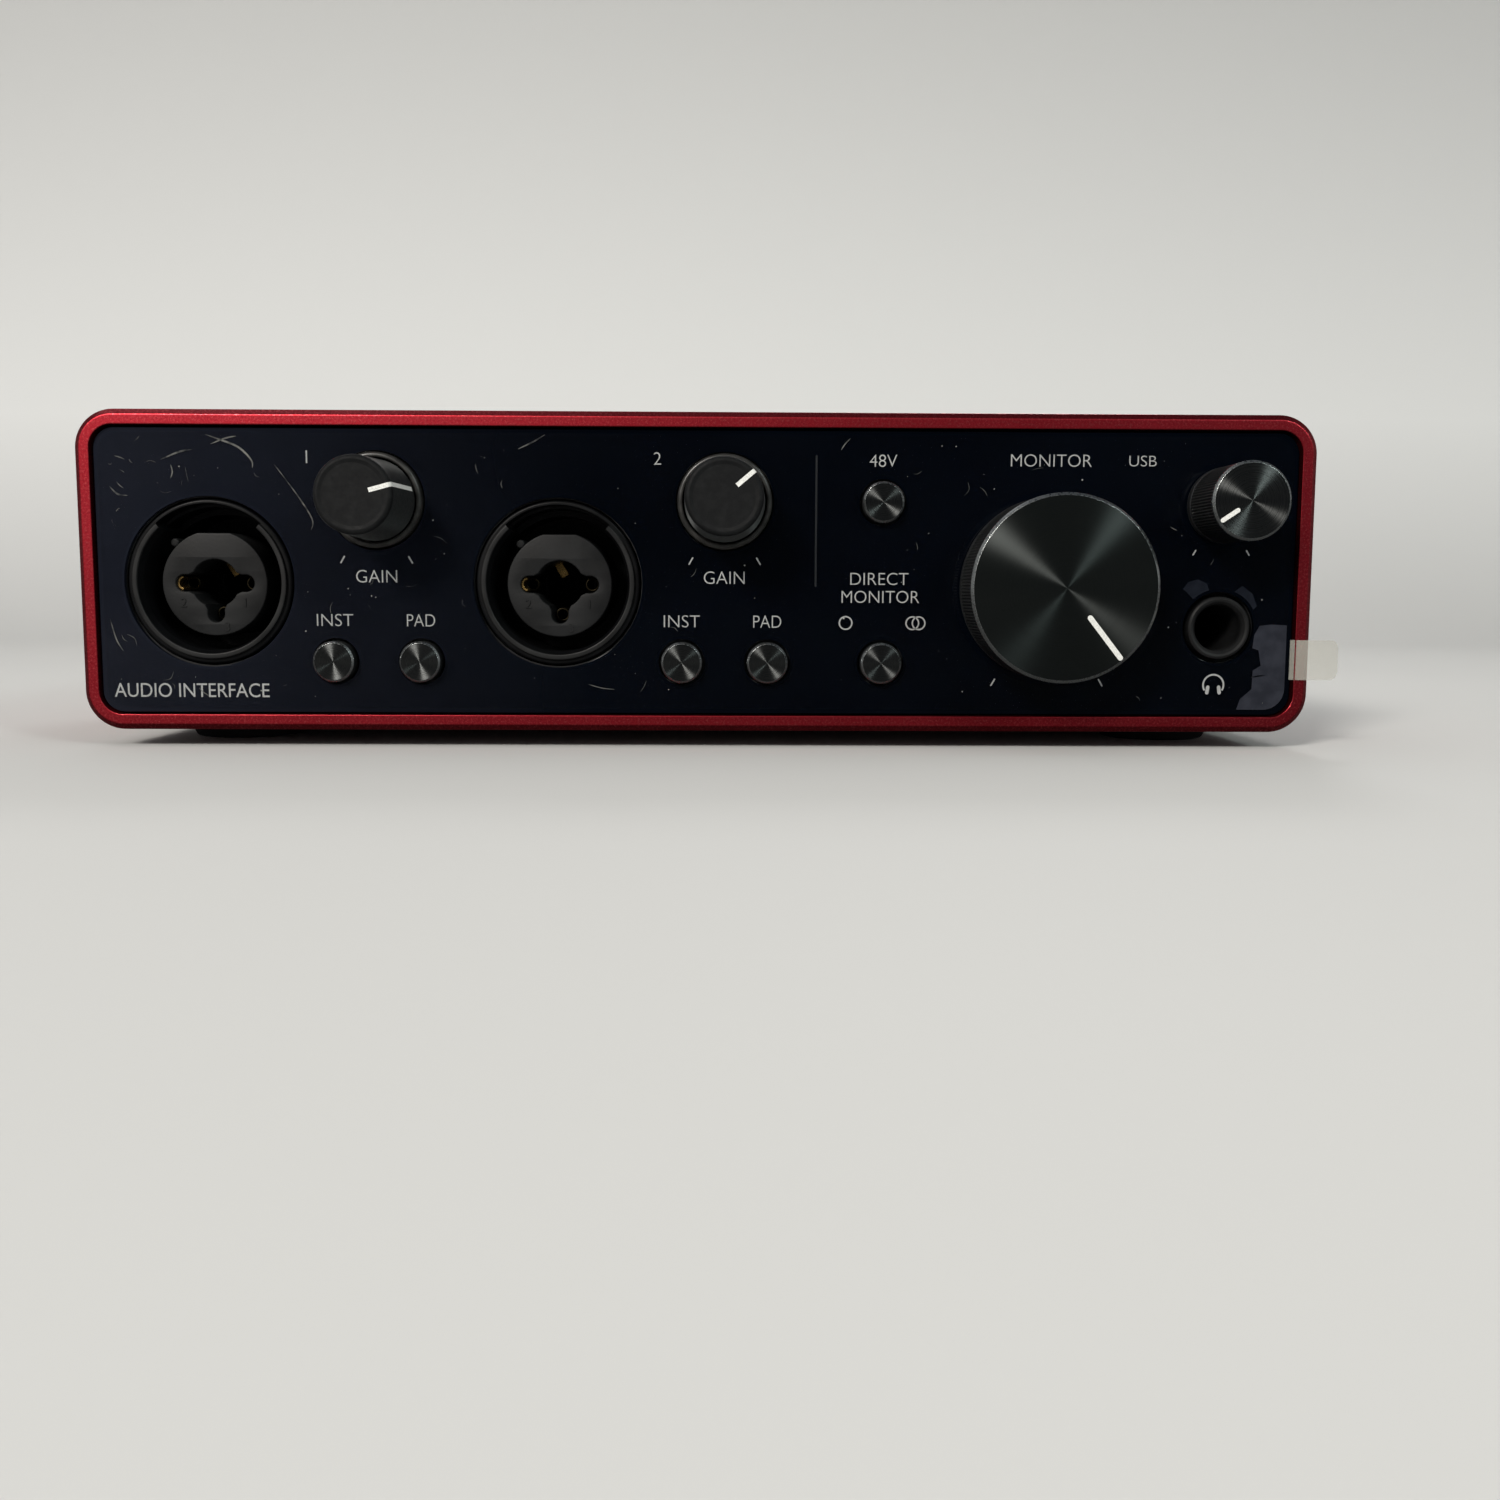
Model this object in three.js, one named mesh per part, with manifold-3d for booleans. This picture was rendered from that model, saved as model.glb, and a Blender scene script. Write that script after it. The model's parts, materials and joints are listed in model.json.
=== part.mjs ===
// A two-channel desktop audio interface: an extruded aluminium case with a moulded front panel behind a
// glossy overlay, two combination microphone sockets, four rotary controls, six push buttons, a headphone
// socket, a rear panel with two line outputs, a USB-C port and a lock slot, and the boards inside.
//
// Millimetres. X runs to the right as seen from the front, Y runs from the front to the back, Z is up.
// The origin is on the surface the feet stand on, at the middle of the overall width and depth.

import * as THREE from "three";
import { mergeVertices } from "three/addons/utils/BufferGeometryUtils.js";
import Module from "manifold-3d";

const wasm = await Module();
wasm.setup();

// ---------------------------------------------------------------- driving dimensions

const CASE = { width: 175, height: 45, depth: 85, radius: 5.5, wall: 2.2, edge: 0.8 };
const FOOT = { radius: 8.4, height: 2.5, lip: 0.6, x: 71, setback: 21, glue: 0.1 };
const KNOB_PROUD = 11.8; // how far the gain knobs stand in front of the case
const NUT_PROUD = 2.2; // how far the output nuts stand behind the case
const GAP = 0.3; // clearance between neighbouring pieces

const DEPTH = KNOB_PROUD + CASE.depth + NUT_PROUD;
const FRONT = KNOB_PROUD - DEPTH / 2; // Y of the case's front rim
const REAR = FRONT + CASE.depth; // Y of the case's rear rim
const MIDDLE = FOOT.height + CASE.height / 2; // Z of the panels' centre line

const INSIDE = {
  width: CASE.width - 2 * CASE.wall,
  height: CASE.height - 2 * CASE.wall,
  radius: CASE.radius - CASE.wall,
};

// Depths of the front stack, measured back from the front rim.
const OVERLAY = { front: 0.8, back: 1.6 };
const PANEL = { front: 1.75, back: 4.2 };
const FRONT_BOARD = { front: 11.2, back: 12.8 };
const REAR_PANEL = { front: 2.8, back: 0.8 }; // measured forward from the rear rim

// Control positions on the front: x from the middle, z from the centre line.
const CHANNEL_PITCH = 49.3;
const CHANNEL = {
  socket: [-69.4, -1.5],
  gain: [-45.7, 10],
  instrument: [-51.8, -12.7],
  pad: [-39.6, -12.7],
};
const PHANTOM_AT = [26, 10];
const DIRECT_AT = [25.9, -12.7];
const MONITOR_AT = [49.9, -2];
const PHONES_AT = [74.4, 9.8];
const PHONES_JACK_AT = [74.4, -7.5];

const GAIN_KNOB = { face: 5.3, base: 5.7, length: 11.8, chamfer: 0.45, sides: 28 };
const MONITOR_KNOB = { face: 12.9, base: 12.9, length: 10.8, chamfer: 0.4, sides: 48 };
const PHONES_KNOB = { face: 5.35, base: 5.35, length: 11.2, chamfer: 0.35, sides: 28 };
const KNOB_BACK = 0.2; // depth of a knob's rear rim behind the case's front rim
const SHAFT = { radius: 2.9, flat: 2.1, bore: 3.1, tip: 2.6, end: 10 };
const SHAFT_HOLE = 4; // radius of the hole round a bare shaft
const HALO = { inner: 5.95, outer: 6.7, front: -0.3 };

const BUTTON = { radius: 2.9, hole: 3.3, proud: 0.9, flange: 3.8, stem: 1.3, stemEnd: 9.4 };
const SWITCH = { side: 6, front: 7.6, back: 11, bore: 1.6, boreEnd: 10.7 };

const SOCKET = {
  snout: 11.6, // barrel that fills the panel hole
  cavity: 9.8, // outer radius of the space for an XLR plug's shell
  cavityEnd: 17,
  lip: [10.2, 10.9], // raised ring round the mouth
  core: 7.5,
  coreFront: 3,
  bore: 3.4, // for a 6.35 mm plug
  boreEnd: 35,
  pins: [0, 180, 270], // directions of the contact slots, in degrees
  pinReach: 4.4,
  pinRadius: 1.2,
  block: [24, 25],
  end: 36,
};
const PHONES_JACK = { hole: 5.1, collar: 4.45, bore: 3.3, body: 12, end: 29, boreEnd: 28 };

const OUTPUT = { x: [-52, -26], z: 1.5, bore: 3.3, bush: 4.4, body: 15, length: 27, nut: 6.2 };
const USB = { x: 18, width: 8.94, height: 3.26, wall: 0.35, length: 7.4, tongue: [6.6, 0.7, 5.2] };
const LOCK_SLOT = { x: 66, width: 7, height: 3, plate: [14, 9], front: 0.75, back: 0.15 };

const BOARD = { thickness: 1.6, width: 169.8, floor: 13.1, setback: 37.5, rearGap: 4 };
const RAIL = { thickness: 1.2, reach: 2, start: 14 };
const BOSS = { side: 6, bore: 1.6 };
const SCREW = { shank: 1.4, head: 2.6, headHeight: 1.3, length: 11 };

// ---------------------------------------------------------------- materials

const material = (color, roughness, metalness) =>
  new THREE.MeshStandardMaterial({ color, roughness, metalness });

const RED_ANODISED = material(0x9c1020, 0.38, 0.85);
const BLACK_MOULDED = material(0x17181a, 0.55, 0);
const BLACK_GLOSS = material(0x05070b, 0.08, 0);
const SOCKET_PLASTIC = material(0x1f2021, 0.5, 0);
const SMOKED_CLEAR = material(0x2a2826, 0.25, 0);
const RUBBER = material(0x202123, 0.85, 0);
const SOFT_TOUCH = material(0x1d1f20, 0.6, 0);
const SPUN_METAL = material(0x2a2d2d, 0.3, 0.9);
const STEEL = material(0x9a9c9e, 0.35, 0.95);
const BLACK_STEEL = material(0x1c1c1e, 0.35, 0.9);
const GOLD_PLATE = material(0xb08a45, 0.3, 0.95);
const BOARD_GREEN = material(0x14402a, 0.5, 0);
const CHIP_BLACK = material(0x101012, 0.6, 0);
const RIBBON_WHITE = material(0xd8d8d4, 0.6, 0);

// ---------------------------------------------------------------- outlines, in the X-Z plane

function arc(x, z, radius, fromDegrees, toDegrees, steps) {
  return Array.from({ length: steps + 1 }, (_, i) => {
    const angle = THREE.MathUtils.degToRad(fromDegrees + ((toDegrees - fromDegrees) * i) / steps);
    return new THREE.Vector2(x + radius * Math.cos(angle), z + radius * Math.sin(angle));
  });
}

function circle(radius, [x, z] = [0, 0], sides = 32) {
  return arc(x, z, radius, 0, 360, sides).slice(0, sides);
}

function rectangle(width, height, [x, z] = [0, 0]) {
  const [w, h] = [width / 2, height / 2];
  return [[-w, -h], [w, -h], [w, h], [-w, h]].map(([u, v]) => new THREE.Vector2(x + u, z + v));
}

function roundedRectangle(width, height, radius, [x, z] = [0, 0], steps = 6) {
  const [w, h] = [width / 2 - radius, height / 2 - radius];
  const corners = [[w, h, 0], [-w, h, 90], [-w, -h, 180], [w, -h, 270]];
  return corners.flatMap(([u, v, start]) => arc(x + u, z + v, radius, start, start + 90, steps));
}

function ringSector(inner, outer, fromDegrees, toDegrees, steps) {
  return [
    ...arc(0, 0, outer, fromDegrees, toDegrees, steps),
    ...arc(0, 0, inner, toDegrees, fromDegrees, steps),
  ];
}

// ---------------------------------------------------------------- solids

// A flat piece: an outline with holes, drawn in the X-Z plane, between two depths.
function slab(outline, front, back, holes = []) {
  const shape = new THREE.Shape(outline);
  shape.holes = holes.map((points) => new THREE.Path(points));
  const geometry = new THREE.ExtrudeGeometry(shape, { depth: back - front, bevelEnabled: false });
  return geometry.rotateX(Math.PI / 2).translate(0, back, 0);
}

// A round piece about the Y axis, from [radius, y] points that run back along its outside.
function turned(points, sides = 32) {
  return new THREE.LatheGeometry(points.map(([radius, y]) => new THREE.Vector2(radius, y)), sides);
}

function cylinder(radius, front, back, sides = 32) {
  return turned([[0, front], [radius, front], [radius, back], [0, back]], sides);
}

function box(width, depth, height, x, y, z) {
  return new THREE.BoxGeometry(width, depth, height).translate(x, y, z);
}

function solidOf(geometry) {
  const bare = new THREE.BufferGeometry();
  bare.setAttribute("position", geometry.getAttribute("position"));
  bare.setIndex(geometry.index);
  const merged = mergeVertices(bare, 1e-4);
  return new wasm.Manifold(
    new wasm.Mesh({
      numProp: 3,
      vertProperties: merged.getAttribute("position").array,
      triVerts: new Uint32Array(merged.index.array),
    }),
  );
}

function geometryOf(solid) {
  const mesh = solid.getMesh();
  const geometry = new THREE.BufferGeometry();
  geometry.setAttribute("position", new THREE.BufferAttribute(mesh.vertProperties, 3));
  geometry.setIndex(new THREE.BufferAttribute(mesh.triVerts, 1));
  return geometry;
}

// Joins the added geometries, then cuts the removed ones out.
function carve(added, removed = []) {
  const joined = added.map(solidOf).reduce((whole, piece) => whole.add(piece));
  return geometryOf(removed.map(solidOf).reduce((whole, tool) => whole.subtract(tool), joined));
}

function piece(name, geometry, finish, x = 0, y = 0, z = 0) {
  const mesh = new THREE.Mesh(geometry, finish);
  mesh.name = name;
  mesh.position.set(x, y, z);
  return mesh;
}

// A group whose local origin is a control's axis on the case's front rim plane.
function onFront([x, z], ...meshes) {
  const group = new THREE.Group();
  group.position.set(x, FRONT, MIDDLE + z);
  group.add(...meshes);
  return group;
}

const shifted = ([x, z], number) => [x + (number - 1) * CHANNEL_PITCH, z];

// ---------------------------------------------------------------- the case

function bossCentre(sideX, sideZ) {
  return [
    sideX * (INSIDE.width - BOSS.side) * 0.5,
    MIDDLE + sideZ * (INSIDE.height - BOSS.side) * 0.5,
  ];
}

function caseShell() {
  const edge = CASE.edge;
  const skin = new THREE.ExtrudeGeometry(
    new THREE.Shape(roundedRectangle(CASE.width, CASE.height, CASE.radius, [0, 0], 8)),
    {
      depth: CASE.depth - 2 * edge,
      bevelThickness: edge,
      bevelSize: edge,
      bevelOffset: -edge,
      bevelSegments: 2,
    },
  );
  skin.rotateX(Math.PI / 2).translate(0, REAR - edge, MIDDLE);

  const hollow = slab(
    roundedRectangle(INSIDE.width, INSIDE.height, INSIDE.radius, [0, MIDDLE]),
    FRONT - 1,
    REAR + 1,
  );
  const start = FRONT + RAIL.start;
  const end = REAR - REAR_PANEL.front - GAP;
  const ribLength = end - start;
  const ribMiddle = (start + end) / 2;
  const sunk = 1; // how far a rib's root runs into the wall
  const ribs = [];
  const bores = [];
  for (const side of [-1, 1]) {
    for (const z of [
      BOARD.floor - GAP - RAIL.thickness / 2,
      BOARD.floor + BOARD.thickness + GAP + RAIL.thickness / 2,
    ]) {
      const x = side * (INSIDE.width / 2 - (RAIL.reach - sunk) / 2);
      ribs.push(box(RAIL.reach + sunk, ribLength, RAIL.thickness, x, ribMiddle, z));
    }
    for (const up of [-1, 1]) {
      const [x, z] = bossCentre(side, up);
      const size = BOSS.side + sunk;
      ribs.push(box(size, ribLength, size, x + (side * sunk) / 2, ribMiddle, z + (up * sunk) / 2));
      bores.push(slab(circle(BOSS.bore, [x, z], 16), start - 1, end + 1));
    }
  }
  const tube = carve([skin], [hollow]);
  return carve([tube, ...ribs], bores);
}

function footProfile() {
  const { radius, height, lip, glue } = FOOT;
  return [[0, 0], [radius - lip, 0], [radius, lip], [radius, height - glue], [0, height - glue]];
}

function foot(name, x, y) {
  const geometry = turned(footProfile(), 30).rotateX(Math.PI / 2);
  return piece(name, geometry, RUBBER, x, y, 0);
}

function feet() {
  const front = FRONT + FOOT.setback;
  const rear = REAR - FOOT.setback;
  return [
    foot("foot_front_left", -FOOT.x, front),
    foot("foot_front_right", FOOT.x, front),
    foot("foot_rear_left", -FOOT.x, rear),
    foot("foot_rear_right", FOOT.x, rear),
  ];
}

// ---------------------------------------------------------------- the front panel

function frontHoles(socketGap) {
  const holes = [];
  const hole = (radius, at, sides) => holes.push(circle(radius, at, sides));
  for (const channel of [1, 2]) {
    hole(SOCKET.snout + socketGap, shifted(CHANNEL.socket, channel), 36);
    hole(HALO.outer + 0.25, shifted(CHANNEL.gain, channel), 24);
    hole(BUTTON.hole, shifted(CHANNEL.instrument, channel), 16);
    hole(BUTTON.hole, shifted(CHANNEL.pad, channel), 16);
  }
  hole(BUTTON.hole, PHANTOM_AT, 16);
  hole(BUTTON.hole, DIRECT_AT, 16);
  hole(SHAFT_HOLE, MONITOR_AT, 16);
  hole(SHAFT_HOLE, PHONES_AT, 16);
  hole(PHONES_JACK.hole, PHONES_JACK_AT, 24);
  return holes;
}

function frontSheet({ front, back }, socketGap) {
  const outline = roundedRectangle(
    INSIDE.width - 2 * GAP,
    INSIDE.height - 2 * GAP,
    INSIDE.radius - GAP,
  );
  return slab(outline, front, back, frontHoles(socketGap));
}

// ---------------------------------------------------------------- combination sockets

function socketHousing() {
  const { snout, cavity, cavityEnd, lip, bore, boreEnd, block, end } = SOCKET;
  const mouth = OVERLAY.front + 0.3;
  const shoulder = PANEL.back + GAP;
  const latchWindow = 42; // degrees either side of straight up
  const added = [
    cylinder(snout, mouth, shoulder + 1, 36),
    slab(rectangle(...block), shoulder, end),
    slab(ringSector(...lip, 90 + latchWindow, 450 - latchWindow, 28), mouth - 0.5, mouth + 0.5),
  ];
  const springPocket = box(4.4, 13, 4, 0, boreEnd - 7, 4.4); // clear of the tip spring
  const removed = [
    cylinder(cavity, mouth - 1, cavityEnd, 36),
    slab(ringSector(cavity - 1, 11, 90 - latchWindow, 90 + latchWindow, 10), mouth - 1, 9),
    cylinder(bore, cavityEnd - 1, boreEnd, 24),
    springPocket,
  ];
  return carve(added, removed);
}

// A slot that runs from the bore out to a contact, with a round end.
function contactSlot(direction) {
  const { pinReach, pinRadius } = SOCKET;
  const angle = THREE.MathUtils.degToRad(direction);
  const end = [pinReach * Math.cos(angle), pinReach * Math.sin(angle)];
  const inner = arc(0, 0, pinRadius, direction + 90, direction + 270, 6);
  const outer = arc(...end, pinRadius, direction - 90, direction + 90, 6);
  return [...inner, ...outer];
}

function socketCore() {
  const { core, coreFront, cavityEnd, bore, pins } = SOCKET;
  const flatHalfAngle = 18; // degrees: the flat across the top of the insert
  const outline = arc(0, 0, core, 90 + flatHalfAngle, 450 - flatHalfAngle, 36);
  const back = cavityEnd - 0.1;
  const body = slab(outline, coreFront, back);
  const holes = [
    cylinder(bore, coreFront - 1, back + 1, 24),
    ...pins.map((direction) => slab(contactSlot(direction), coreFront - 1, back - 2)),
  ];
  return carve([body], holes);
}

// A leaf spring that presses on the plug's tip: a strip that dips towards the bore.
function tipSpring() {
  const thickness = 0.35;
  const run = [
    [22.5, 5.4],
    [26, 5.2],
    [30, 2.9],
    [31.2, 2.9],
    [33.6, 4.6],
  ];
  const upper = run.map(([y, z]) => new THREE.Vector2(y, z + thickness));
  const lower = run.map(([y, z]) => new THREE.Vector2(y, z)).reverse();
  const strip = new THREE.ExtrudeGeometry(new THREE.Shape([...lower, ...upper]), {
    depth: 2.6,
    bevelEnabled: false,
  });
  // The strip is drawn with y across and z up, then turned so that its width lies along X.
  return strip.rotateX(Math.PI / 2).rotateZ(Math.PI / 2).translate(-1.3, 0, 0);
}

function socket(channel) {
  return onFront(
    shifted(CHANNEL.socket, channel),
    piece(`combo_socket_housing_${channel}`, socketHousing(), SOCKET_PLASTIC),
    piece(`combo_socket_core_${channel}`, socketCore(), SOCKET_PLASTIC),
    piece(`jack_tip_spring_${channel}`, tipSpring(), GOLD_PLATE),
  );
}

// ---------------------------------------------------------------- rotary controls

function knobCap({ face, base, length, chamfer, sides }) {
  const wall = 1.3;
  const roof = 1.8;
  const hub = SHAFT.radius + 1.4;
  const bore = SHAFT.radius + 0.1;
  return turned(
    [
      [0, -length],
      [face - chamfer, -length],
      [face, chamfer - length],
      [base, KNOB_BACK],
      [base - wall, KNOB_BACK],
      [face - wall, roof - length],
      [hub, roof - length],
      [hub, -0.6],
      [bore, -0.6],
      [bore, SHAFT.tip - length - 0.1],
      [0, SHAFT.tip - length - 0.1],
    ],
    sides,
  );
}

// A small cap has no room between its wall and its hub, so it is solid round the shaft.
function solidKnobCap({ face, base, length, chamfer, sides }) {
  const bore = SHAFT.radius + 0.1;
  const tip = SHAFT.tip - length - 0.1;
  return turned(
    [
      [0, -length],
      [face - chamfer, -length],
      [face, chamfer - length],
      [base, KNOB_BACK],
      [bore, KNOB_BACK],
      [bore, tip],
      [0, tip],
    ],
    sides,
  );
}

function knobShaft(length) {
  const { radius, flat, tip, end } = SHAFT;
  const half = THREE.MathUtils.radToDeg(Math.acos(flat / radius));
  return slab(arc(0, 0, radius, 90 + half, 450 - half, 18), tip - length, end);
}

function potentiometer() {
  const bushing = SHAFT.radius + 0.6;
  return carve(
    [cylinder(bushing, 1, 6, 20), box(10, 6, 11, 0, 8, -0.5)],
    [cylinder(SHAFT.bore, 0, SHAFT.end + 0.3, 20)],
  );
}

function rotary(name, at, cap, length, finish) {
  return onFront(
    at,
    piece(`${name}_knob`, cap, finish),
    piece(`${name}_shaft`, knobShaft(length), STEEL),
    piece(`${name}_pot`, potentiometer(), CHIP_BLACK),
  );
}

function halo() {
  const { inner, outer, front } = HALO;
  const back = PANEL.back;
  const profile = [
    [inner, back],
    [inner, front],
    [outer - 0.4, front],
    [outer, front + 0.4],
    [outer, back],
    [inner, back],
  ];
  return turned(profile, 28);
}

// ---------------------------------------------------------------- push buttons

function buttonCap() {
  const { radius, proud, flange, stem, stemEnd } = BUTTON;
  const ledge = PANEL.back + GAP;
  return turned(
    [
      [0, -proud],
      [radius - 0.25, -proud],
      [radius, 0.25 - proud],
      [radius, ledge],
      [flange, ledge],
      [flange, ledge + 0.8],
      [stem, ledge + 0.8],
      [stem, stemEnd],
      [0, stemEnd],
    ],
    16,
  );
}

function tactSwitch() {
  const { side, front, back, bore, boreEnd } = SWITCH;
  return carve([slab(rectangle(side, side), front, back)], [cylinder(bore, front - 1, boreEnd, 12)]);
}

function pushButton(name, at) {
  return onFront(
    at,
    piece(`${name}_button`, buttonCap(), SPUN_METAL),
    piece(`${name}_switch`, tactSwitch(), CHIP_BLACK),
  );
}

// ---------------------------------------------------------------- headphone socket

function phonesJack() {
  const { collar, bore, body, end, boreEnd } = PHONES_JACK;
  const mouth = OVERLAY.front - 0.5;
  const shoulder = PANEL.back + GAP;
  return carve(
    [cylinder(collar, mouth, shoulder + 1, 28), slab(rectangle(body, body), shoulder, end)],
    [cylinder(bore, mouth - 1, boreEnd, 24)],
  );
}

// ---------------------------------------------------------------- the rear panel and its connectors

function usbOutline(grow) {
  const height = USB.height + 2 * grow;
  return roundedRectangle(USB.width + 2 * grow, height, height / 2 - 0.01, [0, 0], 5);
}

const usbHeight = BOARD.floor + BOARD.thickness + 0.1 + USB.height / 2;

function rearPanel() {
  const outputs = OUTPUT.x.map((x) => circle(OUTPUT.bush + GAP, [x, MIDDLE + OUTPUT.z], 24));
  const screws = [-1, 1].flatMap((side) =>
    [-1, 1].map((up) => circle(SCREW.shank + GAP, bossCentre(side, up), 12)),
  );
  const usb = usbOutline(GAP).map((p) => new THREE.Vector2(p.x + USB.x, p.y + usbHeight));
  const outline = roundedRectangle(
    INSIDE.width - 2 * GAP,
    INSIDE.height - 2 * GAP,
    INSIDE.radius - GAP,
    [0, MIDDLE],
  );
  return slab(outline, REAR - REAR_PANEL.front, REAR - REAR_PANEL.back, [
    ...outputs,
    ...screws,
    usb,
    lockSlotOutline(),
  ]);
}

function lockSlotOutline() {
  return roundedRectangle(LOCK_SLOT.width, LOCK_SLOT.height, 1, [LOCK_SLOT.x, MIDDLE], 3);
}

// A steel plate round the slot, which takes the pull of a security cable.
function lockPlate() {
  const { x, plate, front, back } = LOCK_SLOT;
  const outline = roundedRectangle(...plate, 1.5, [x, MIDDLE], 4);
  return slab(outline, REAR - front, REAR - back, [lockSlotOutline()]);
}

// Built about its own axis, with y measured from the case's rear rim.
function outputJack() {
  const { bore, bush, body, length } = OUTPUT;
  const shoulder = -REAR_PANEL.front - GAP;
  const bushing = cylinder(bush, shoulder - 1, NUT_PROUD - 0.3, 24);
  const housing = slab(rectangle(body, body), shoulder - length, shoulder);
  return carve([bushing, housing], [cylinder(bore, shoulder - length + 1, NUT_PROUD + 1, 24)]);
}

function outputNut() {
  const seat = -REAR_PANEL.back + 0.1;
  return slab(circle(OUTPUT.nut, [0, 0], 6), seat, NUT_PROUD, [circle(OUTPUT.bush + 0.1, [0, 0], 24)]);
}

function lineOutput(name, x) {
  const group = new THREE.Group();
  group.position.set(x, REAR, MIDDLE + OUTPUT.z);
  group.add(
    piece(`line_output_jack_${name}`, outputJack(), SOCKET_PLASTIC),
    piece(`line_output_nut_${name}`, outputNut(), BLACK_STEEL),
  );
  return group;
}

function usbPort() {
  const [tongueWidth, tongueHeight, tongueDepth] = USB.tongue;
  const mouth = -REAR_PANEL.back + 0.2;
  const shell = carve(
    [slab(usbOutline(0), mouth - USB.length, mouth)],
    [slab(usbOutline(-USB.wall), mouth - USB.length + 1, mouth + 1)],
  );
  const tongueFront = mouth - USB.length + 1.1;
  const tongue = slab(rectangle(tongueWidth, tongueHeight), tongueFront, tongueFront + tongueDepth);
  const group = new THREE.Group();
  group.position.set(USB.x, REAR, usbHeight);
  group.add(piece("usb_c_shell", shell, STEEL), piece("usb_c_tongue", tongue, CHIP_BLACK));
  return group;
}

function screwGeometry() {
  const seat = -REAR_PANEL.back + 0.1;
  const { shank, head, headHeight, length } = SCREW;
  const driveSocket = slab(circle(1, [0, 0], 6), seat + 0.4, seat + headHeight + 1);
  const body = turned(
    [
      [0, seat - length],
      [shank, seat - length],
      [shank, seat],
      [head, seat],
      [head, seat + headHeight * 0.55],
      [head - 0.7, seat + headHeight],
      [0, seat + headHeight],
    ],
    16,
  );
  return carve([body], [driveSocket]);
}

function rearScrews() {
  const places = {
    lower_left: [-1, -1],
    lower_right: [1, -1],
    upper_left: [-1, 1],
    upper_right: [1, 1],
  };
  return Object.entries(places).map(([name, [side, up]]) => {
    const [x, z] = bossCentre(side, up);
    return piece(`rear_screw_${name}`, screwGeometry(), BLACK_STEEL, x, REAR, z);
  });
}

// ---------------------------------------------------------------- the boards

function frontBoard() {
  const { front, back } = FRONT_BOARD;
  const cutOut = (width, height, at) =>
    slab(rectangle(width + 0.8, height + 0.8, at), front - 1, back + 1);
  const outline = roundedRectangle(INSIDE.width - 1.6, INSIDE.height - 1.6, 2.4);
  return carve([slab(outline, front, back)], [
    cutOut(...SOCKET.block, shifted(CHANNEL.socket, 1)),
    cutOut(...SOCKET.block, shifted(CHANNEL.socket, 2)),
    cutOut(PHONES_JACK.body, PHONES_JACK.body, PHONES_JACK_AT),
  ]);
}

const mainBoardFront = FRONT + BOARD.setback;
const mainBoardBack = REAR - BOARD.rearGap;
const mainBoardTop = BOARD.floor + BOARD.thickness;

function mainBoard() {
  const depth = mainBoardBack - mainBoardFront;
  const y = (mainBoardFront + mainBoardBack) / 2;
  return box(BOARD.width, depth, BOARD.thickness, 0, y, BOARD.floor + BOARD.thickness / 2);
}

const RIBBON = { x: 34, width: 16, thickness: 0.3, socket: [19, 3, 4] };

// The flat cable leaves the front board's socket, sags and drops into the main board's socket.
function ribbonCable(start, end) {
  const half = RIBBON.thickness / 2;
  const curve = new THREE.CubicBezierCurve(
    new THREE.Vector2(...start),
    new THREE.Vector2(start[0] + 9, start[1]),
    new THREE.Vector2(end[0], end[1] + 12),
    new THREE.Vector2(...end),
  );
  const steps = 10;
  const side = (offset) =>
    Array.from({ length: steps + 1 }, (_, i) => {
      const point = curve.getPoint(i / steps);
      const tangent = curve.getTangent(i / steps);
      return new THREE.Vector2(point.x - tangent.y * offset, point.y + tangent.x * offset);
    });
  const outline = new THREE.Shape([...side(-half), ...side(half).reverse()]);
  const strip = new THREE.ExtrudeGeometry(outline, { depth: RIBBON.width, bevelEnabled: false });
  return strip.rotateX(Math.PI / 2).rotateZ(Math.PI / 2).translate(RIBBON.x - RIBBON.width / 2, 0, 0);
}

function ribbonParts() {
  const [width, low, tall] = RIBBON.socket;
  const boardRear = FRONT + FRONT_BOARD.back + 0.1;
  const start = [boardRear + tall + 0.1, MIDDLE + 8];
  const end = [mainBoardFront + 8, mainBoardTop + tall + 0.2];
  return [
    piece("ribbon_socket_front", box(width, tall, low, 0, 0, 0), RIBBON_WHITE,
      RIBBON.x, boardRear + tall / 2, start[1]),
    piece("ribbon_socket_main", box(width, low, tall, 0, 0, 0), RIBBON_WHITE,
      RIBBON.x, end[0], mainBoardTop + 0.1 + tall / 2),
    piece("ribbon_cable", ribbonCable(start, end), RIBBON_WHITE),
  ];
}

function boardComponents() {
  const onBoard = mainBoardTop + 0.1;
  const capacitor = { radius: 5, height: 12 };
  const can = cylinder(capacitor.radius, 0, capacitor.height, 24).rotateX(Math.PI / 2);
  return [
    piece("usb_controller_chip", box(14, 14, 1.4, 0, 0, 0.7), CHIP_BLACK, 14, 22, onBoard),
    piece("converter_chip", box(9, 9, 1.2, 0, 0, 0.6), CHIP_BLACK, -8, 20, onBoard),
    piece("reservoir_capacitor", can, BLACK_STEEL, 44, 26, onBoard),
  ];
}

// ---------------------------------------------------------------- assembly

const model = new THREE.Group();

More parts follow.
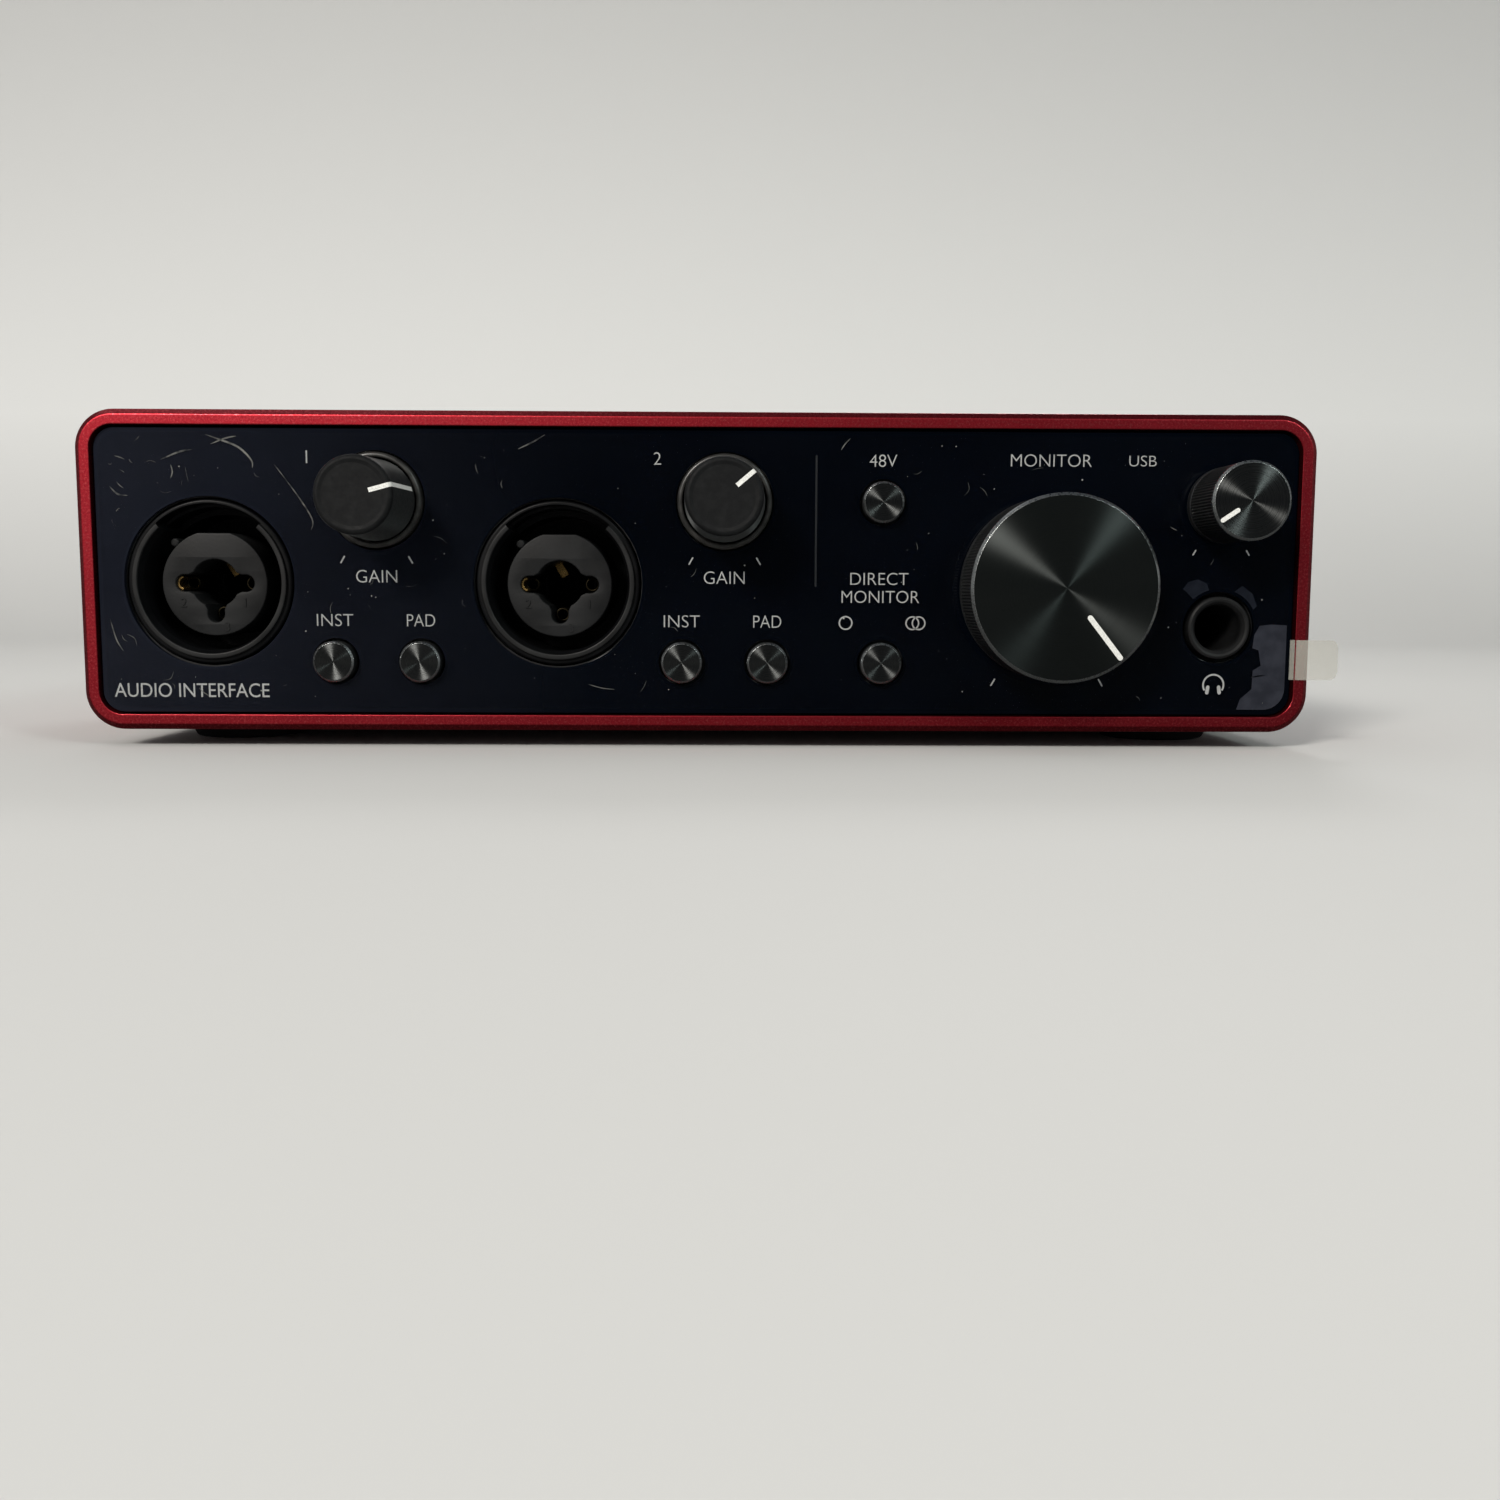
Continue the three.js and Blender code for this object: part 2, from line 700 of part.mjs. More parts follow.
model.add(
  piece("case_shell", caseShell(), RED_ANODISED),
  ...feet(),
  onFront([0, 0],
    piece("front_overlay", frontSheet(OVERLAY, 0.4), BLACK_GLOSS),
    piece("front_panel", frontSheet(PANEL, GAP), BLACK_MOULDED),
    piece("front_board", frontBoard(), BOARD_GREEN),
  ),
  piece("rear_panel", rearPanel(), BLACK_MOULDED),
  piece("lock_plate", lockPlate(), BLACK_STEEL),
  ...rearScrews(),
  piece("main_board", mainBoard(), BOARD_GREEN),
  ...ribbonParts(),
  ...boardComponents(),
  usbPort(),
  lineOutput("right", OUTPUT.x[0]),
  lineOutput("left", OUTPUT.x[1]),
);

for (const channel of [1, 2]) {
  const gainAt = shifted(CHANNEL.gain, channel);
  model.add(
    socket(channel),
    rotary(`gain_${channel}`, gainAt, solidKnobCap(GAIN_KNOB), GAIN_KNOB.length, SOFT_TOUCH),
    onFront(gainAt, piece(`gain_halo_${channel}`, halo(), SMOKED_CLEAR)),
    pushButton(`instrument_${channel}`, shifted(CHANNEL.instrument, channel)),
    pushButton(`pad_${channel}`, shifted(CHANNEL.pad, channel)),
  );
}

model.add(
  rotary("monitor", MONITOR_AT, knobCap(MONITOR_KNOB), MONITOR_KNOB.length, SPUN_METAL),
  rotary("phones", PHONES_AT, solidKnobCap(PHONES_KNOB), PHONES_KNOB.length, SPUN_METAL),
  pushButton("phantom", PHANTOM_AT),
  pushButton("direct_monitor", DIRECT_AT),
  onFront(PHONES_JACK_AT, piece("phones_jack", phonesJack(), SOCKET_PLASTIC)),
);

export default model;
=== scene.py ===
"""The looks of a two-channel desktop audio interface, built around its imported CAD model.

Shapes are drawn in millimetres about a local origin, with x to the right, y towards the back and z up.
They are placed in the frame in metres. On the front, the local origin is where a control's axis meets
the case's front rim.
"""

import json
import math
import random

import bmesh
import bpy
from mathutils import Matrix, Vector


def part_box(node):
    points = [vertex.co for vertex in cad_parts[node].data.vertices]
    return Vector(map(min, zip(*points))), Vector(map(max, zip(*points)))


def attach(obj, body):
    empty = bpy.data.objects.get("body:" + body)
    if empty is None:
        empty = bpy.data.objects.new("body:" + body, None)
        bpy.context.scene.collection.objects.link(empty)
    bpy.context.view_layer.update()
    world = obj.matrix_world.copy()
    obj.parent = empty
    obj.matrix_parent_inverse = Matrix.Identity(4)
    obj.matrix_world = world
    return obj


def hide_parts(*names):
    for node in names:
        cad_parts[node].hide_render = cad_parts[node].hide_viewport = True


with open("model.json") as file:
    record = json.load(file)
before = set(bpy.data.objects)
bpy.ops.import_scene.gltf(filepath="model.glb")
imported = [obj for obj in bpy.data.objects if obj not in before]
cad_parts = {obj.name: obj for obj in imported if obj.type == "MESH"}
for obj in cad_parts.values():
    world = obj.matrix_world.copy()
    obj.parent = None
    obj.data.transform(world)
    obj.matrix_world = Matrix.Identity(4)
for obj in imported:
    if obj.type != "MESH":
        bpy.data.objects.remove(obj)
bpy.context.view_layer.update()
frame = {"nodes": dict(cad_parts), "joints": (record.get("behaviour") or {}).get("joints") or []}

MM = 0.001
ROOT = "chassis"
scene = bpy.context.scene
rng = random.Random(12)

# ---- places, from the frame

CASE_LOW, CASE_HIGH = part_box("case_shell")
FRONT, REAR = CASE_LOW.y, CASE_HIGH.y
MIDDLE = (CASE_LOW.z + CASE_HIGH.z) / 2
CASE_WIDTH = (CASE_HIGH.x - CASE_LOW.x) / MM
CASE_HEIGHT = (CASE_HIGH.z - CASE_LOW.z) / MM
CASE_DEPTH = (REAR - FRONT) / MM
CASE_RADIUS = 5.5
CASE_WALL = 2.2

OVERLAY_LOW, OVERLAY_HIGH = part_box("front_overlay")
OVERLAY_WIDTH = (OVERLAY_HIGH.x - OVERLAY_LOW.x) / MM
OVERLAY_HEIGHT = (OVERLAY_HIGH.z - OVERLAY_LOW.z) / MM
OVERLAY_RADIUS = 3.0

KNOBS = ("gain_1", "gain_2", "monitor", "phones")
BUTTONS = ("instrument_1", "pad_1", "instrument_2", "pad_2", "phantom", "direct_monitor")
SCREW_PLACES = ("lower_left", "lower_right", "upper_left", "upper_right")
SWEEP = 300  # degrees that a knob turns through


def centre_of(node):
    """A node's middle, in the frame."""
    low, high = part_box(node)
    return (low + high) / 2


def on_front(node):
    """The point where a node's front-to-back axis meets the plane of the case's front rim."""
    middle = centre_of(node)
    return Vector((middle.x, FRONT, middle.z))


def on_rear(node):
    middle = centre_of(node)
    return Vector((middle.x, REAR, middle.z))


def depths(node, origin=FRONT):
    """Where a node starts and ends behind the case's front rim, or the rear one, in millimetres."""
    low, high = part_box(node)
    return (low.y - origin) / MM, (high.y - origin) / MM


def across(node):
    """A node's width in millimetres."""
    low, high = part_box(node)
    return (high.x - low.x) / MM


def panel_xz(node):
    """A node's axis in millimetres from the middle of the front panel."""
    middle = centre_of(node)
    return middle.x / MM, (middle.z - MIDDLE) / MM


FRONT_CENTRE = Vector((0, FRONT, MIDDLE))
REAR_CENTRE = Vector((0, REAR, MIDDLE))
OVERLAY_FRONT, OVERLAY_BACK = depths("front_overlay")

# ---- outlines, in the x-z plane


def arc(x, z, radius, start, end, steps):
    """Points of an arc; degrees run anticlockwise from +x towards +z."""
    angles = [math.radians(start + (end - start) * i / steps) for i in range(steps + 1)]
    return [(x + radius * math.cos(a), z + radius * math.sin(a)) for a in angles]


def circle(radius, x=0.0, z=0.0, sides=96):
    return arc(x, z, radius, 0, 360, sides)[:-1]


def rounded_box(width, height, radius, x=0.0, z=0.0, steps=12):
    w, h = width / 2 - radius, height / 2 - radius
    corners = ((w, h, 0), (-w, h, 90), (-w, -h, 180), (w, -h, 270))
    return [p for u, v, a in corners for p in arc(x + u, z + v, radius, a, a + 90, steps)]


def turned_point(x, z, angle):
    """The point turned about the origin, anticlockwise, by an angle in radians."""
    return x * math.cos(angle) - z * math.sin(angle), x * math.sin(angle) + z * math.cos(angle)


def stadium(length, width, x=0.0, z=0.0, angle=0.0):
    """A bar with round ends, its middle at x, z, turned anticlockwise by angle degrees."""
    half = (length - width) / 2
    turn = math.radians(angle)
    ends = arc(half, 0, width / 2, -90, 90, 8) + arc(-half, 0, width / 2, 90, 270, 8)
    return [(x + u, z + v) for u, v in (turned_point(*end, turn) for end in ends)]


def rounded_line(points, closed, steps=6):
    """A list of (a, b) or (a, b, fillet radius) corners, with the fillets drawn as arcs."""
    line = []
    count = len(points)
    for i, point in enumerate(points):
        corner = Vector(point[:2])
        radius = point[2] if len(point) > 2 else 0
        if not radius or (not closed and i in (0, count - 1)):
            line.append(corner)
            continue
        u = (Vector(points[i - 1][:2]) - corner).normalized()
        v = (Vector(points[(i + 1) % count][:2]) - corner).normalized()
        half = u.angle(v) / 2
        middle = corner + (u + v).normalized() * (radius / math.sin(half))
        start = corner + u * (radius / math.tan(half)) - middle
        end = corner + v * (radius / math.tan(half)) - middle
        first = math.atan2(start.y, start.x)
        sweep = (math.atan2(end.y, end.x) - first + math.pi) % (2 * math.pi) - math.pi
        for k in range(steps + 1):
            a = first + sweep * k / steps
            line.append(middle + Vector((math.cos(a), math.sin(a))) * radius)
    return line


def held(line, closed, margin=0.12):
    """The line with extra points near the ends of its long stretches, so that they shade flat."""
    points = []
    count = len(line)
    for i, start in enumerate(line):
        points.append(start)
        if i == count - 1 and not closed:
            break
        run = line[(i + 1) % count] - start
        if run.length > 5 * margin:
            points.append(start + run.normalized() * margin)
            points.append(start + run - run.normalized() * margin)
    return points


# ---- meshes


def mesh_of(points, faces):
    """A mesh from millimetre points, with its faces turned outwards."""
    mesh = bpy.data.meshes.new("shape")
    mesh.from_pydata([Vector(p) * MM for p in points], [], faces)
    work = bmesh.new()
    work.from_mesh(mesh)
    bmesh.ops.recalc_face_normals(work, faces=work.faces)
    work.to_mesh(mesh)
    work.free()
    return mesh


def bridge(rings, closed):
    """Quads and fans between neighbouring rings of point numbers; a ring of one point is a pole."""
    faces = []
    following = rings[1:] + (rings[:1] if closed else [])
    for a, b in zip(rings, following):
        count = max(len(a), len(b))
        if count == 1:
            continue
        for k in range(count):
            n = (k + 1) % count
            if len(a) == 1:
                faces.append((a[0], b[k], b[n]))
            elif len(b) == 1:
                faces.append((a[k], b[0], a[n]))
            else:
                faces.append((a[k], b[k], b[n], a[n]))
    return faces


def lofted(rows, closed=False, capped=True):
    """A solid through a row of loops of points, where a loop of one point is a pole."""
    points, rings = [], []
    for row in rows:
        rings.append(tuple(range(len(points), len(points) + len(row))))
        points += row
    caps = [rings[0], rings[-1]] if capped else []
    return mesh_of(points, bridge(rings, closed) + caps)


def turned(profile, sides=96, ripple=None, steps=6):
    """A solid of revolution about y, from (radius, y, fillet) corners. ripple(radius, y, k) moves point k."""
    closed = profile[0][0] > 0
    line = held(rounded_line(profile, closed, steps), closed)
    smallest = 1e-6
    rows = []
    for i, (radius, y) in enumerate(line):
        if radius < smallest:
            if max(line[i - 1][0], line[(i + 1) % len(line)][0]) >= smallest:
                rows.append([(0, y, 0)])
            continue
        row = []
        for k in range(sides):
            a = 2 * math.pi * k / sides
            r = radius + (ripple(radius, y, k) if ripple else 0)
            row.append((r * math.sin(a), y, r * math.cos(a)))
        rows.append(row)
    return lofted(rows, closed, capped=False)


def plate(outlines, front, back, edge=0.0, bevel_steps=1):
    """A flat piece between two depths: the first outline is its rim, and the others are holes."""
    curve = bpy.data.curves.new("outline", "CURVE")
    curve.dimensions = "2D"
    curve.fill_mode = "BOTH"
    curve.extrude = ((back - front) / 2 - edge) * MM
    curve.bevel_depth = edge * MM
    curve.bevel_resolution = bevel_steps
    curve.offset = -edge * MM
    for outline in outlines:
        spline = curve.splines.new("POLY")
        spline.points.add(len(outline) - 1)
        spline.use_cyclic_u = True
        for point, (x, z) in zip(spline.points, outline):
            point.co = (x * MM, z * MM, 0, 1)
    return stood_up(meshed(curve), (front + back) / 2)


def meshed(curve):
    """The mesh of a curve or text, with its shared edges merged."""
    holder = bpy.data.objects.new("holder", curve)
    mesh = bpy.data.meshes.new_from_object(holder)
    bpy.data.objects.remove(holder)
    work = bmesh.new()
    work.from_mesh(mesh)
    bmesh.ops.remove_doubles(work, verts=work.verts, dist=1e-7)
    work.to_mesh(mesh)
    work.free()
    mesh.materials.clear()
    return mesh


def stood_up(mesh, depth):
    """Turns a mesh drawn in x and y upright, facing the front, with its middle plane at that depth."""
    mesh.transform(Matrix.Translation((0, depth * MM, 0)) @ Matrix.Rotation(math.pi / 2, 4, "X"))
    return mesh


def carved(mesh, tools, operation="DIFFERENCE"):
    """The mesh with closed tool meshes cut away or kept."""
    body = bpy.data.objects.new("body", mesh)
    scene.collection.objects.link(body)
    helpers = []
    for tool in tools:
        helper = bpy.data.objects.new("tool", tool)
        scene.collection.objects.link(helper)
        helpers.append(helper)
        step = body.modifiers.new("cut", "BOOLEAN")
        step.operation = operation
        step.solver = "EXACT"
        step.object = helper
    shown = body.evaluated_get(bpy.context.evaluated_depsgraph_get())
    result = bpy.data.meshes.new_from_object(shown)
    for holder in (body, *helpers):
        bpy.data.objects.remove(holder)
    return result


def moved(mesh, x=0.0, y=0.0, z=0.0, turn=0.0, axis="Y"):
    """The mesh turned about an axis by degrees, then shifted by millimetres."""
    place = Matrix.Translation(Vector((x, y, z)) * MM)
    mesh.transform(place @ Matrix.Rotation(math.radians(turn), 4, axis))
    return mesh


def merged(meshes):
    """One mesh from several, keeping them apart as islands."""
    work = bmesh.new()
    for mesh in meshes:
        work.from_mesh(mesh)
    whole = bpy.data.meshes.new("shape")
    work.to_mesh(whole)
    work.free()
    return whole


def block(width, depth, height, x=0.0, y=0.0, z=0.0, edge=0.0):
    """A cuboid with softened edges, centred at a point."""
    work = bmesh.new()
    bmesh.ops.create_cube(work, size=1)
    size = Matrix.Diagonal((width * MM, depth * MM, height * MM, 1))
    bmesh.ops.transform(work, matrix=Matrix.Translation(Vector((x, y, z)) * MM) @ size, verts=work.verts)
    if edge:
        bmesh.ops.bevel(work, geom=work.edges[:], offset=edge * MM, segments=2, affect="EDGES", profile=0.5)
    mesh = bpy.data.meshes.new("block")
    work.to_mesh(mesh)
    work.free()
    return mesh


def piece(name, mesh, look, at=FRONT_CENTRE, body=ROOT, replaces=(), slot=None, sharp=20, zones=None):
    """Makes a mesh into a named piece that rides on a body. zones(centre) picks a face's material."""
    mesh.name = name
    looks = look if isinstance(look, (list, tuple)) else [look]
    mesh.materials.clear()
    for one in looks:
        mesh.materials.append(one)
    if zones:
        for face in mesh.polygons:
            face.material_index = zones(face.center / MM)
    mesh.shade_smooth()
    mesh.set_sharp_from_angle(angle=math.radians(sharp))
    made = bpy.data.objects.new(name, mesh)
    scene.collection.objects.link(made)
    made.location = at
    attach(made, body)
    if replaces:
        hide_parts(*replaces)


def stand_in(node, name, mesh, look, slot, at=None, body=ROOT, **extra):
    """A piece that takes the place of a CAD node, set on the case's front rim unless told otherwise."""
    piece(name, mesh, look, at or on_front(node), body, [node], slot, **extra)


# ---- materials


class Graph:
    """Short ways to add nodes to a tree."""

    def __init__(self, tree):
        self.tree = tree

    def node(self, kind, inputs=None, **settings):
        made = self.tree.nodes.new("ShaderNode" + kind)
        for key, value in settings.items():
            setattr(made, key, value)
        for socket, value in (inputs or {}).items():
            self.feed(made.inputs[socket], value)
        return made

    def feed(self, socket, value):
        """Links an output to a socket, or sets a value on it."""
        if isinstance(value, bpy.types.NodeSocket):
            self.tree.links.new(value, socket)
        elif isinstance(value, tuple) and len(value) < len(socket.default_value):
            socket.default_value = (*value, 1)
        else:
            socket.default_value = value

    def place(self, kind="Object"):
        return self.node("TexCoord").outputs[kind]

    def along(self, axis, kind="Object"):
        """One coordinate of a place or direction."""
        return self.node("SeparateXYZ", {0: self.place(kind)}).outputs[axis]

    def noise(self, grain, detail=2.0):
        """Noise whose features are about grain millimetres across."""
        inputs = {"Vector": self.place(), "Scale": 1 / (grain * MM), "Detail": detail}
        return self.node("TexNoise", inputs).outputs["Fac"]

    def ranged(self, value, low, high, start=0.3, end=0.7):
        """A value's stretch from start to end, spread from low to high."""
        inputs = {"Value": value, "From Min": start, "From Max": end, "To Min": low, "To Max": high}
        return self.node("MapRange", inputs).outputs["Result"]

    def maths(self, operation, a, b=0.0):
        return self.node("Math", {0: a, 1: b}, operation=operation).outputs[0]

    def mix(self, factor, a, b):
        """A mix of two colours, each a socket or three numbers."""
        made = self.node("Mix", {0: factor, 6: a, 7: b}, data_type="RGBA")
        return made.outputs[2]


def shade(colour, factor):
    """The colour, darker or lighter."""
    return tuple(c * factor for c in colour)


class Look(Graph):
    """A Principled material."""

    def __init__(self, name, colour, roughness, metallic=0.0, **sockets):
        self.material = bpy.data.materials.new(name)
        self.material.use_nodes = True
        super().__init__(self.material.node_tree)
        self.shader = self.tree.nodes["Principled BSDF"]
        self.set("Base Color", colour)
        self.set("Roughness", roughness)
        self.set("Metallic", metallic)
        for socket, value in sockets.items():
            self.set(socket.replace("_", " "), value)

    def set(self, socket, value):
        """Sets a value on the shader, or links an output to it."""
        self.feed(self.shader.inputs[socket], value)

    def tint(self, factor, a, b, start=0.3, end=0.7):
        """Colours the surface from a to b as a value runs from start to end."""
        self.set("Base Color", self.mix(self.ranged(factor, 0, 1, start, end), a, b))

    def bump(self, height, depth, strength=1.0):
        """Relief of that depth in millimetres."""
        inputs = {"Height": height, "Distance": depth * MM, "Strength": strength}
        self.set("Normal", self.node("Bump", inputs).outputs["Normal"])

    def radius(self):
        """Distance from the object's own y axis, in metres."""
        flat = self.node("VectorMath", {0: self.place(), 1: (1.0, 0.0, 1.0)}, operation="MULTIPLY")
        return self.node("VectorMath", {0: flat.outputs[0]}, operation="LENGTH").outputs["Value"]


def anodised_red():
    """Bead-blasted aluminium, dyed red: a satin metal, with a fine sparkle painted into its colour as bright
    grains.
    """
    look = Look("anodised_red", (0.5, 0.03, 0.045), 0.36, 1.0, Coat_Weight=0.25, Coat_Roughness=0.3)
    coarse, fine = look.noise(0.34), look.noise(0.16)
    grain = look.maths("ADD", look.maths("MULTIPLY", coarse, 0.6), look.maths("MULTIPLY", fine, 0.4))
    deep = look.mix(look.ranged(look.noise(9.0), 0, 1), (0.4, 0.016, 0.028), (0.46, 0.022, 0.036))
    shaded = look.mix(look.ranged(grain, 0, 1, 0.36, 0.5), (0.26, 0.008, 0.016), deep)
    # Painted highlight: the brightest grains take a pale pink, a sparkle painted into the colour.
    look.set("Base Color", look.mix(look.ranged(grain, 0, 0.7, 0.52, 0.66), shaded, (0.8, 0.12, 0.13)))
    look.set("Roughness", look.ranged(grain, 0.44, 0.3, 0.38, 0.62))
    look.bump(grain, 0.03, 0.5)
    return look.material


def glossy_overlay():
    """The clear-faced black front skin: navy black, with a pale veil that fades from the left."""
    look = Look("overlay_gloss", (0.002, 0.0035, 0.007), 0.09, Specular_IOR_Level=0.1)
    cloud = look.ranged(look.noise(30.0, 3.0), 0, 1)
    clear = look.mix(cloud, (0.0003, 0.0008, 0.002), (0.0007, 0.0015, 0.0035))
    veiled = look.mix(cloud, (0.006, 0.0072, 0.012), (0.0095, 0.011, 0.017))
    look.set("Base Color", look.mix(look.ranged(look.along("X"), 1, 0, -85 * MM, -15 * MM), clear, veiled))
    look.set("Roughness", look.ranged(look.noise(1.5, 4.0), 0.07, 0.14))
    return look.material


def moulded(name, colour, roughness=0.5, grain=0.25, depth=0.012, specular=0.4, wear=0.35):
    """Moulded plastic: fine spark-eroded grain, slightly uneven in tone and gloss."""
    look = Look(name, colour, roughness, Specular_IOR_Level=specular)
    fine = look.noise(grain, 3.0)
    tone = look.noise(grain * 14, 3.0)
    look.tint(tone, shade(colour, 1 - wear), shade(colour, 1 + wear))
    look.set("Roughness", look.ranged(tone, roughness - 0.07, roughness + 0.08))
    look.bump(fine, depth, 0.5)
    return look.material


def soft_touch():
    """Rubbery lacquer: matt, with a pale bloom where the surface turns away."""
    bloom = {"Sheen_Weight": 0.1, "Sheen_Roughness": 0.35, "Sheen_Tint": (0.8, 0.85, 0.85, 1)}
    look = Look("knob_soft_touch", (0.018, 0.02, 0.021), 0.6, Specular_IOR_Level=0.17, **bloom)
    dust = look.noise(1.1, 5.0)
    look.tint(dust, (0.0038, 0.0042, 0.0048), (0.0075, 0.008, 0.0086), 0.45, 0.8)
    look.set("Roughness", look.ranged(look.noise(0.5, 3.0), 0.55, 0.7))
    look.bump(look.noise(0.12), 0.008, 0.4)
    return look.material


def spun(name, colour, roughness, metallic=0.9, crown=0.0):
    """A faced disc, with turning lines that stretch highlights into streaks. crown is its bulge."""
    look = Look(name, colour, roughness, metallic, Anisotropic=1.0, Anisotropic_Rotation=0.25)
    tangent = look.node("Tangent", direction_type="RADIAL", axis="Y")
    look.set("Tangent", tangent.outputs["Tangent"])
    radius = look.radius()
    lines = look.node("TexNoise", {"W": radius, "Scale": 9000, "Detail": 3}, noise_dimensions="1D")
    line = lines.outputs["Fac"]
    look.set("Roughness", look.ranged(line, roughness - 0.06, roughness + 0.08))
    look.tint(line, shade(colour, 0.8), colour)
    fall = look.maths("MULTIPLY", look.maths("MULTIPLY", radius, radius), -crown)
    look.bump(look.maths("ADD", look.maths("MULTIPLY", line, 0.0014 * MM), fall), 1 / MM)
    return look.material


def metal(name, colour, roughness):
    """Plain machined or plated metal, with small changes of polish."""
    look = Look(name, colour, roughness, 1.0)
    grain, spread = 0.3, 0.08
    polish = look.noise(grain, 4.0)
    look.set("Roughness", look.ranged(polish, roughness - spread, roughness + spread))
    look.tint(look.noise(grain * 9), shade(colour, 0.82), colour)
    look.bump(polish, 0.004, 0.3)
    return look.material


def ink(name, colour):
    """Screen-printed ink: matt, with a slight loss at its edges."""
    look = Look(name, colour, 0.6, Specular_IOR_Level=0.2)
    look.tint(look.noise(0.2, 3.0), shade(colour, 0.72), colour, 0.3, 0.6)
    return look.material


def smoked_clear():
    """Smoked plastic of a light guide, which lights up only when the unit is on."""
    look = Look("halo_smoked", (0.1, 0.092, 0.082), 0.34, IOR=1.49, Specular_IOR_Level=0.5)
    look.set("Transmission Weight", 0.35)
    haze = look.noise(1.2, 3.0)
    look.tint(haze, (0.02, 0.02, 0.019), (0.045, 0.044, 0.041))
    look.set("Roughness", look.ranged(haze, 0.28, 0.42))
    return look.material


def film(name, alpha_low, alpha_high, colour, roughness=0.3):
    """Clear sheet: almost nothing but a thin haze."""
    look = Look(name, colour, roughness, Specular_IOR_Level=0.15)
    look.set("Alpha", look.ranged(look.noise(14.0, 3.0), alpha_low, alpha_high))
    look.bump(look.noise(2.0, 3.0), 0.01, 0.2)
    return look.material


def blemish(name, faint, strong, scale):
    """A mark in or on the film, paler and stronger in places."""
    look = Look(name, strong, 0.4, Specular_IOR_Level=0.1)
    look.tint(look.noise(scale, 3.0), faint, strong, 0.35, 0.65)
    return look.material


def solder_mask():
    """A board's green lacquer over its copper tracks."""
    look = Look("board_mask", (0.012, 0.09, 0.045), 0.35, Specular_IOR_Level=0.5)
    tracks = look.node("TexBrick", {"Vector": look.place(), "Scale": 260.0, "Mortar Size": 0.03})
    look.set("Base Color", look.mix(tracks.outputs["Fac"], (0.01, 0.075, 0.04), (0.02, 0.13, 0.07)))
    look.bump(tracks.outputs["Fac"], 0.03, 0.4)
    return look.material


def floor_grey():
    """Pale sweep: painted light just above the floor, painted shade high up, dark where metal mirrors it."""
    look = Look("studio_floor", (0.6, 0.597, 0.585), 0.75, Specular_IOR_Level=0.15)
    even = look.mix(look.ranged(look.noise(160.0), 0, 1), (0.595, 0.592, 0.58), (0.605, 0.602, 0.59))
    height = look.along("Z")
    # Painted light and shade: lighter from the floor up to 0.15 m, then darker towards 0.75 m.
    low = look.mix(look.ranged(height, 0, 1, 0.0, 0.15), even, (0.74, 0.74, 0.725))
    pale = look.mix(look.ranged(height, 0, 1, 0.15, 0.75), low, (0.42, 0.42, 0.412))
    # Painted reflection: glossy rays see the sweep dark, so metal mirrors a darker floor.
    mirrored = look.node("LightPath").outputs["Is Glossy Ray"]
    look.set("Base Color", look.mix(mirrored, pale, (0.06, 0.06, 0.06)))
    return look.material


RED = anodised_red()
OVERLAY = glossy_overlay()
PANEL = moulded("panel_black", (0.008, 0.0084, 0.009), 0.5, 0.3)
SOCKET = moulded("socket_nylon", (0.009, 0.0093, 0.0098), 0.5, 0.35, 0.02, specular=0.2)
SOCKET_DARK = moulded("socket_body", (0.0035, 0.0037, 0.0042), 0.4, 0.3, specular=0.12)
LIP = moulded("socket_lip", (0.009, 0.0093, 0.0096), 0.42, 0.4, 0.008, specular=0.3)
COMPONENT = moulded("component_black", (0.012, 0.012, 0.013), 0.55, 0.2)
RUBBER = moulded("foot_rubber", (0.014, 0.014, 0.015), 0.8, 0.4, 0.03, 0.25)
RIBBON = moulded("ribbon_white", (0.62, 0.61, 0.57), 0.55, 0.4, 0.01, 0.3, 0.1)
SOFT = soft_touch()
SPUN_KNOB = spun("spun_knob_face", (0.021, 0.0245, 0.024), 0.36, 0.8, crown=2.6)
SPUN_BUTTON = spun("spun_button_face", (0.076, 0.08, 0.08), 0.29, 0.96)
CUT_RIM = metal("diamond_cut_rim", (0.55, 0.58, 0.58), 0.3)
# Painted shade: the pin sleeves' metal is darkened nearly to black, as they lie in the slots' shade.
SHADED_BRONZE = metal("contact_bronze_painted_shade", (0.026, 0.021, 0.012), 0.46)
KNURL = metal("knurled_side", (0.13, 0.135, 0.14), 0.46)
STEEL = metal("steel_plain", (0.55, 0.55, 0.56), 0.3)
BLACK_METAL = metal("black_zinc", (0.045, 0.046, 0.05), 0.36)
GOLD = metal("gold_plate", (0.62, 0.4, 0.14), 0.3)
WHITE = ink("pointer_white", (0.72, 0.72, 0.69))
PRINT = ink("print_grey", (0.4, 0.405, 0.4))
PRINT_DIM = ink("print_dim", (0.013, 0.0145, 0.017))
SMOKE = smoked_clear()
FILM = film("film_clear", 0.03, 0.07, (0.001, 0.001, 0.0015))
TAB = film("film_tab", 0.3, 0.38, (0.44, 0.43, 0.38), 0.35)
FILM_LIFT = blemish("film_lifted", (0.015, 0.0165, 0.023), (0.024, 0.026, 0.035), 2.0)
FILM_HAZE = blemish("film_hazed", (0.005, 0.0065, 0.011), (0.009, 0.011, 0.017), 1.5)
SCRATCH = blemish("film_scratch", (0.012, 0.013, 0.016), (0.15, 0.15, 0.14), 1.6)
DUST = blemish("film_dust", (0.12, 0.12, 0.11), (0.42, 0.42, 0.4), 12.0)
BOARD = solder_mask()

# ---- the case


def rounded_loop(inset, y):
    """The case's rounded outline, moved in by inset, at a depth behind the front rim."""
    width, height = CASE_WIDTH - 2 * inset, CASE_HEIGHT - 2 * inset
    return [(x, y, z) for x, z in rounded_box(width, height, CASE_RADIUS - inset, steps=16)]


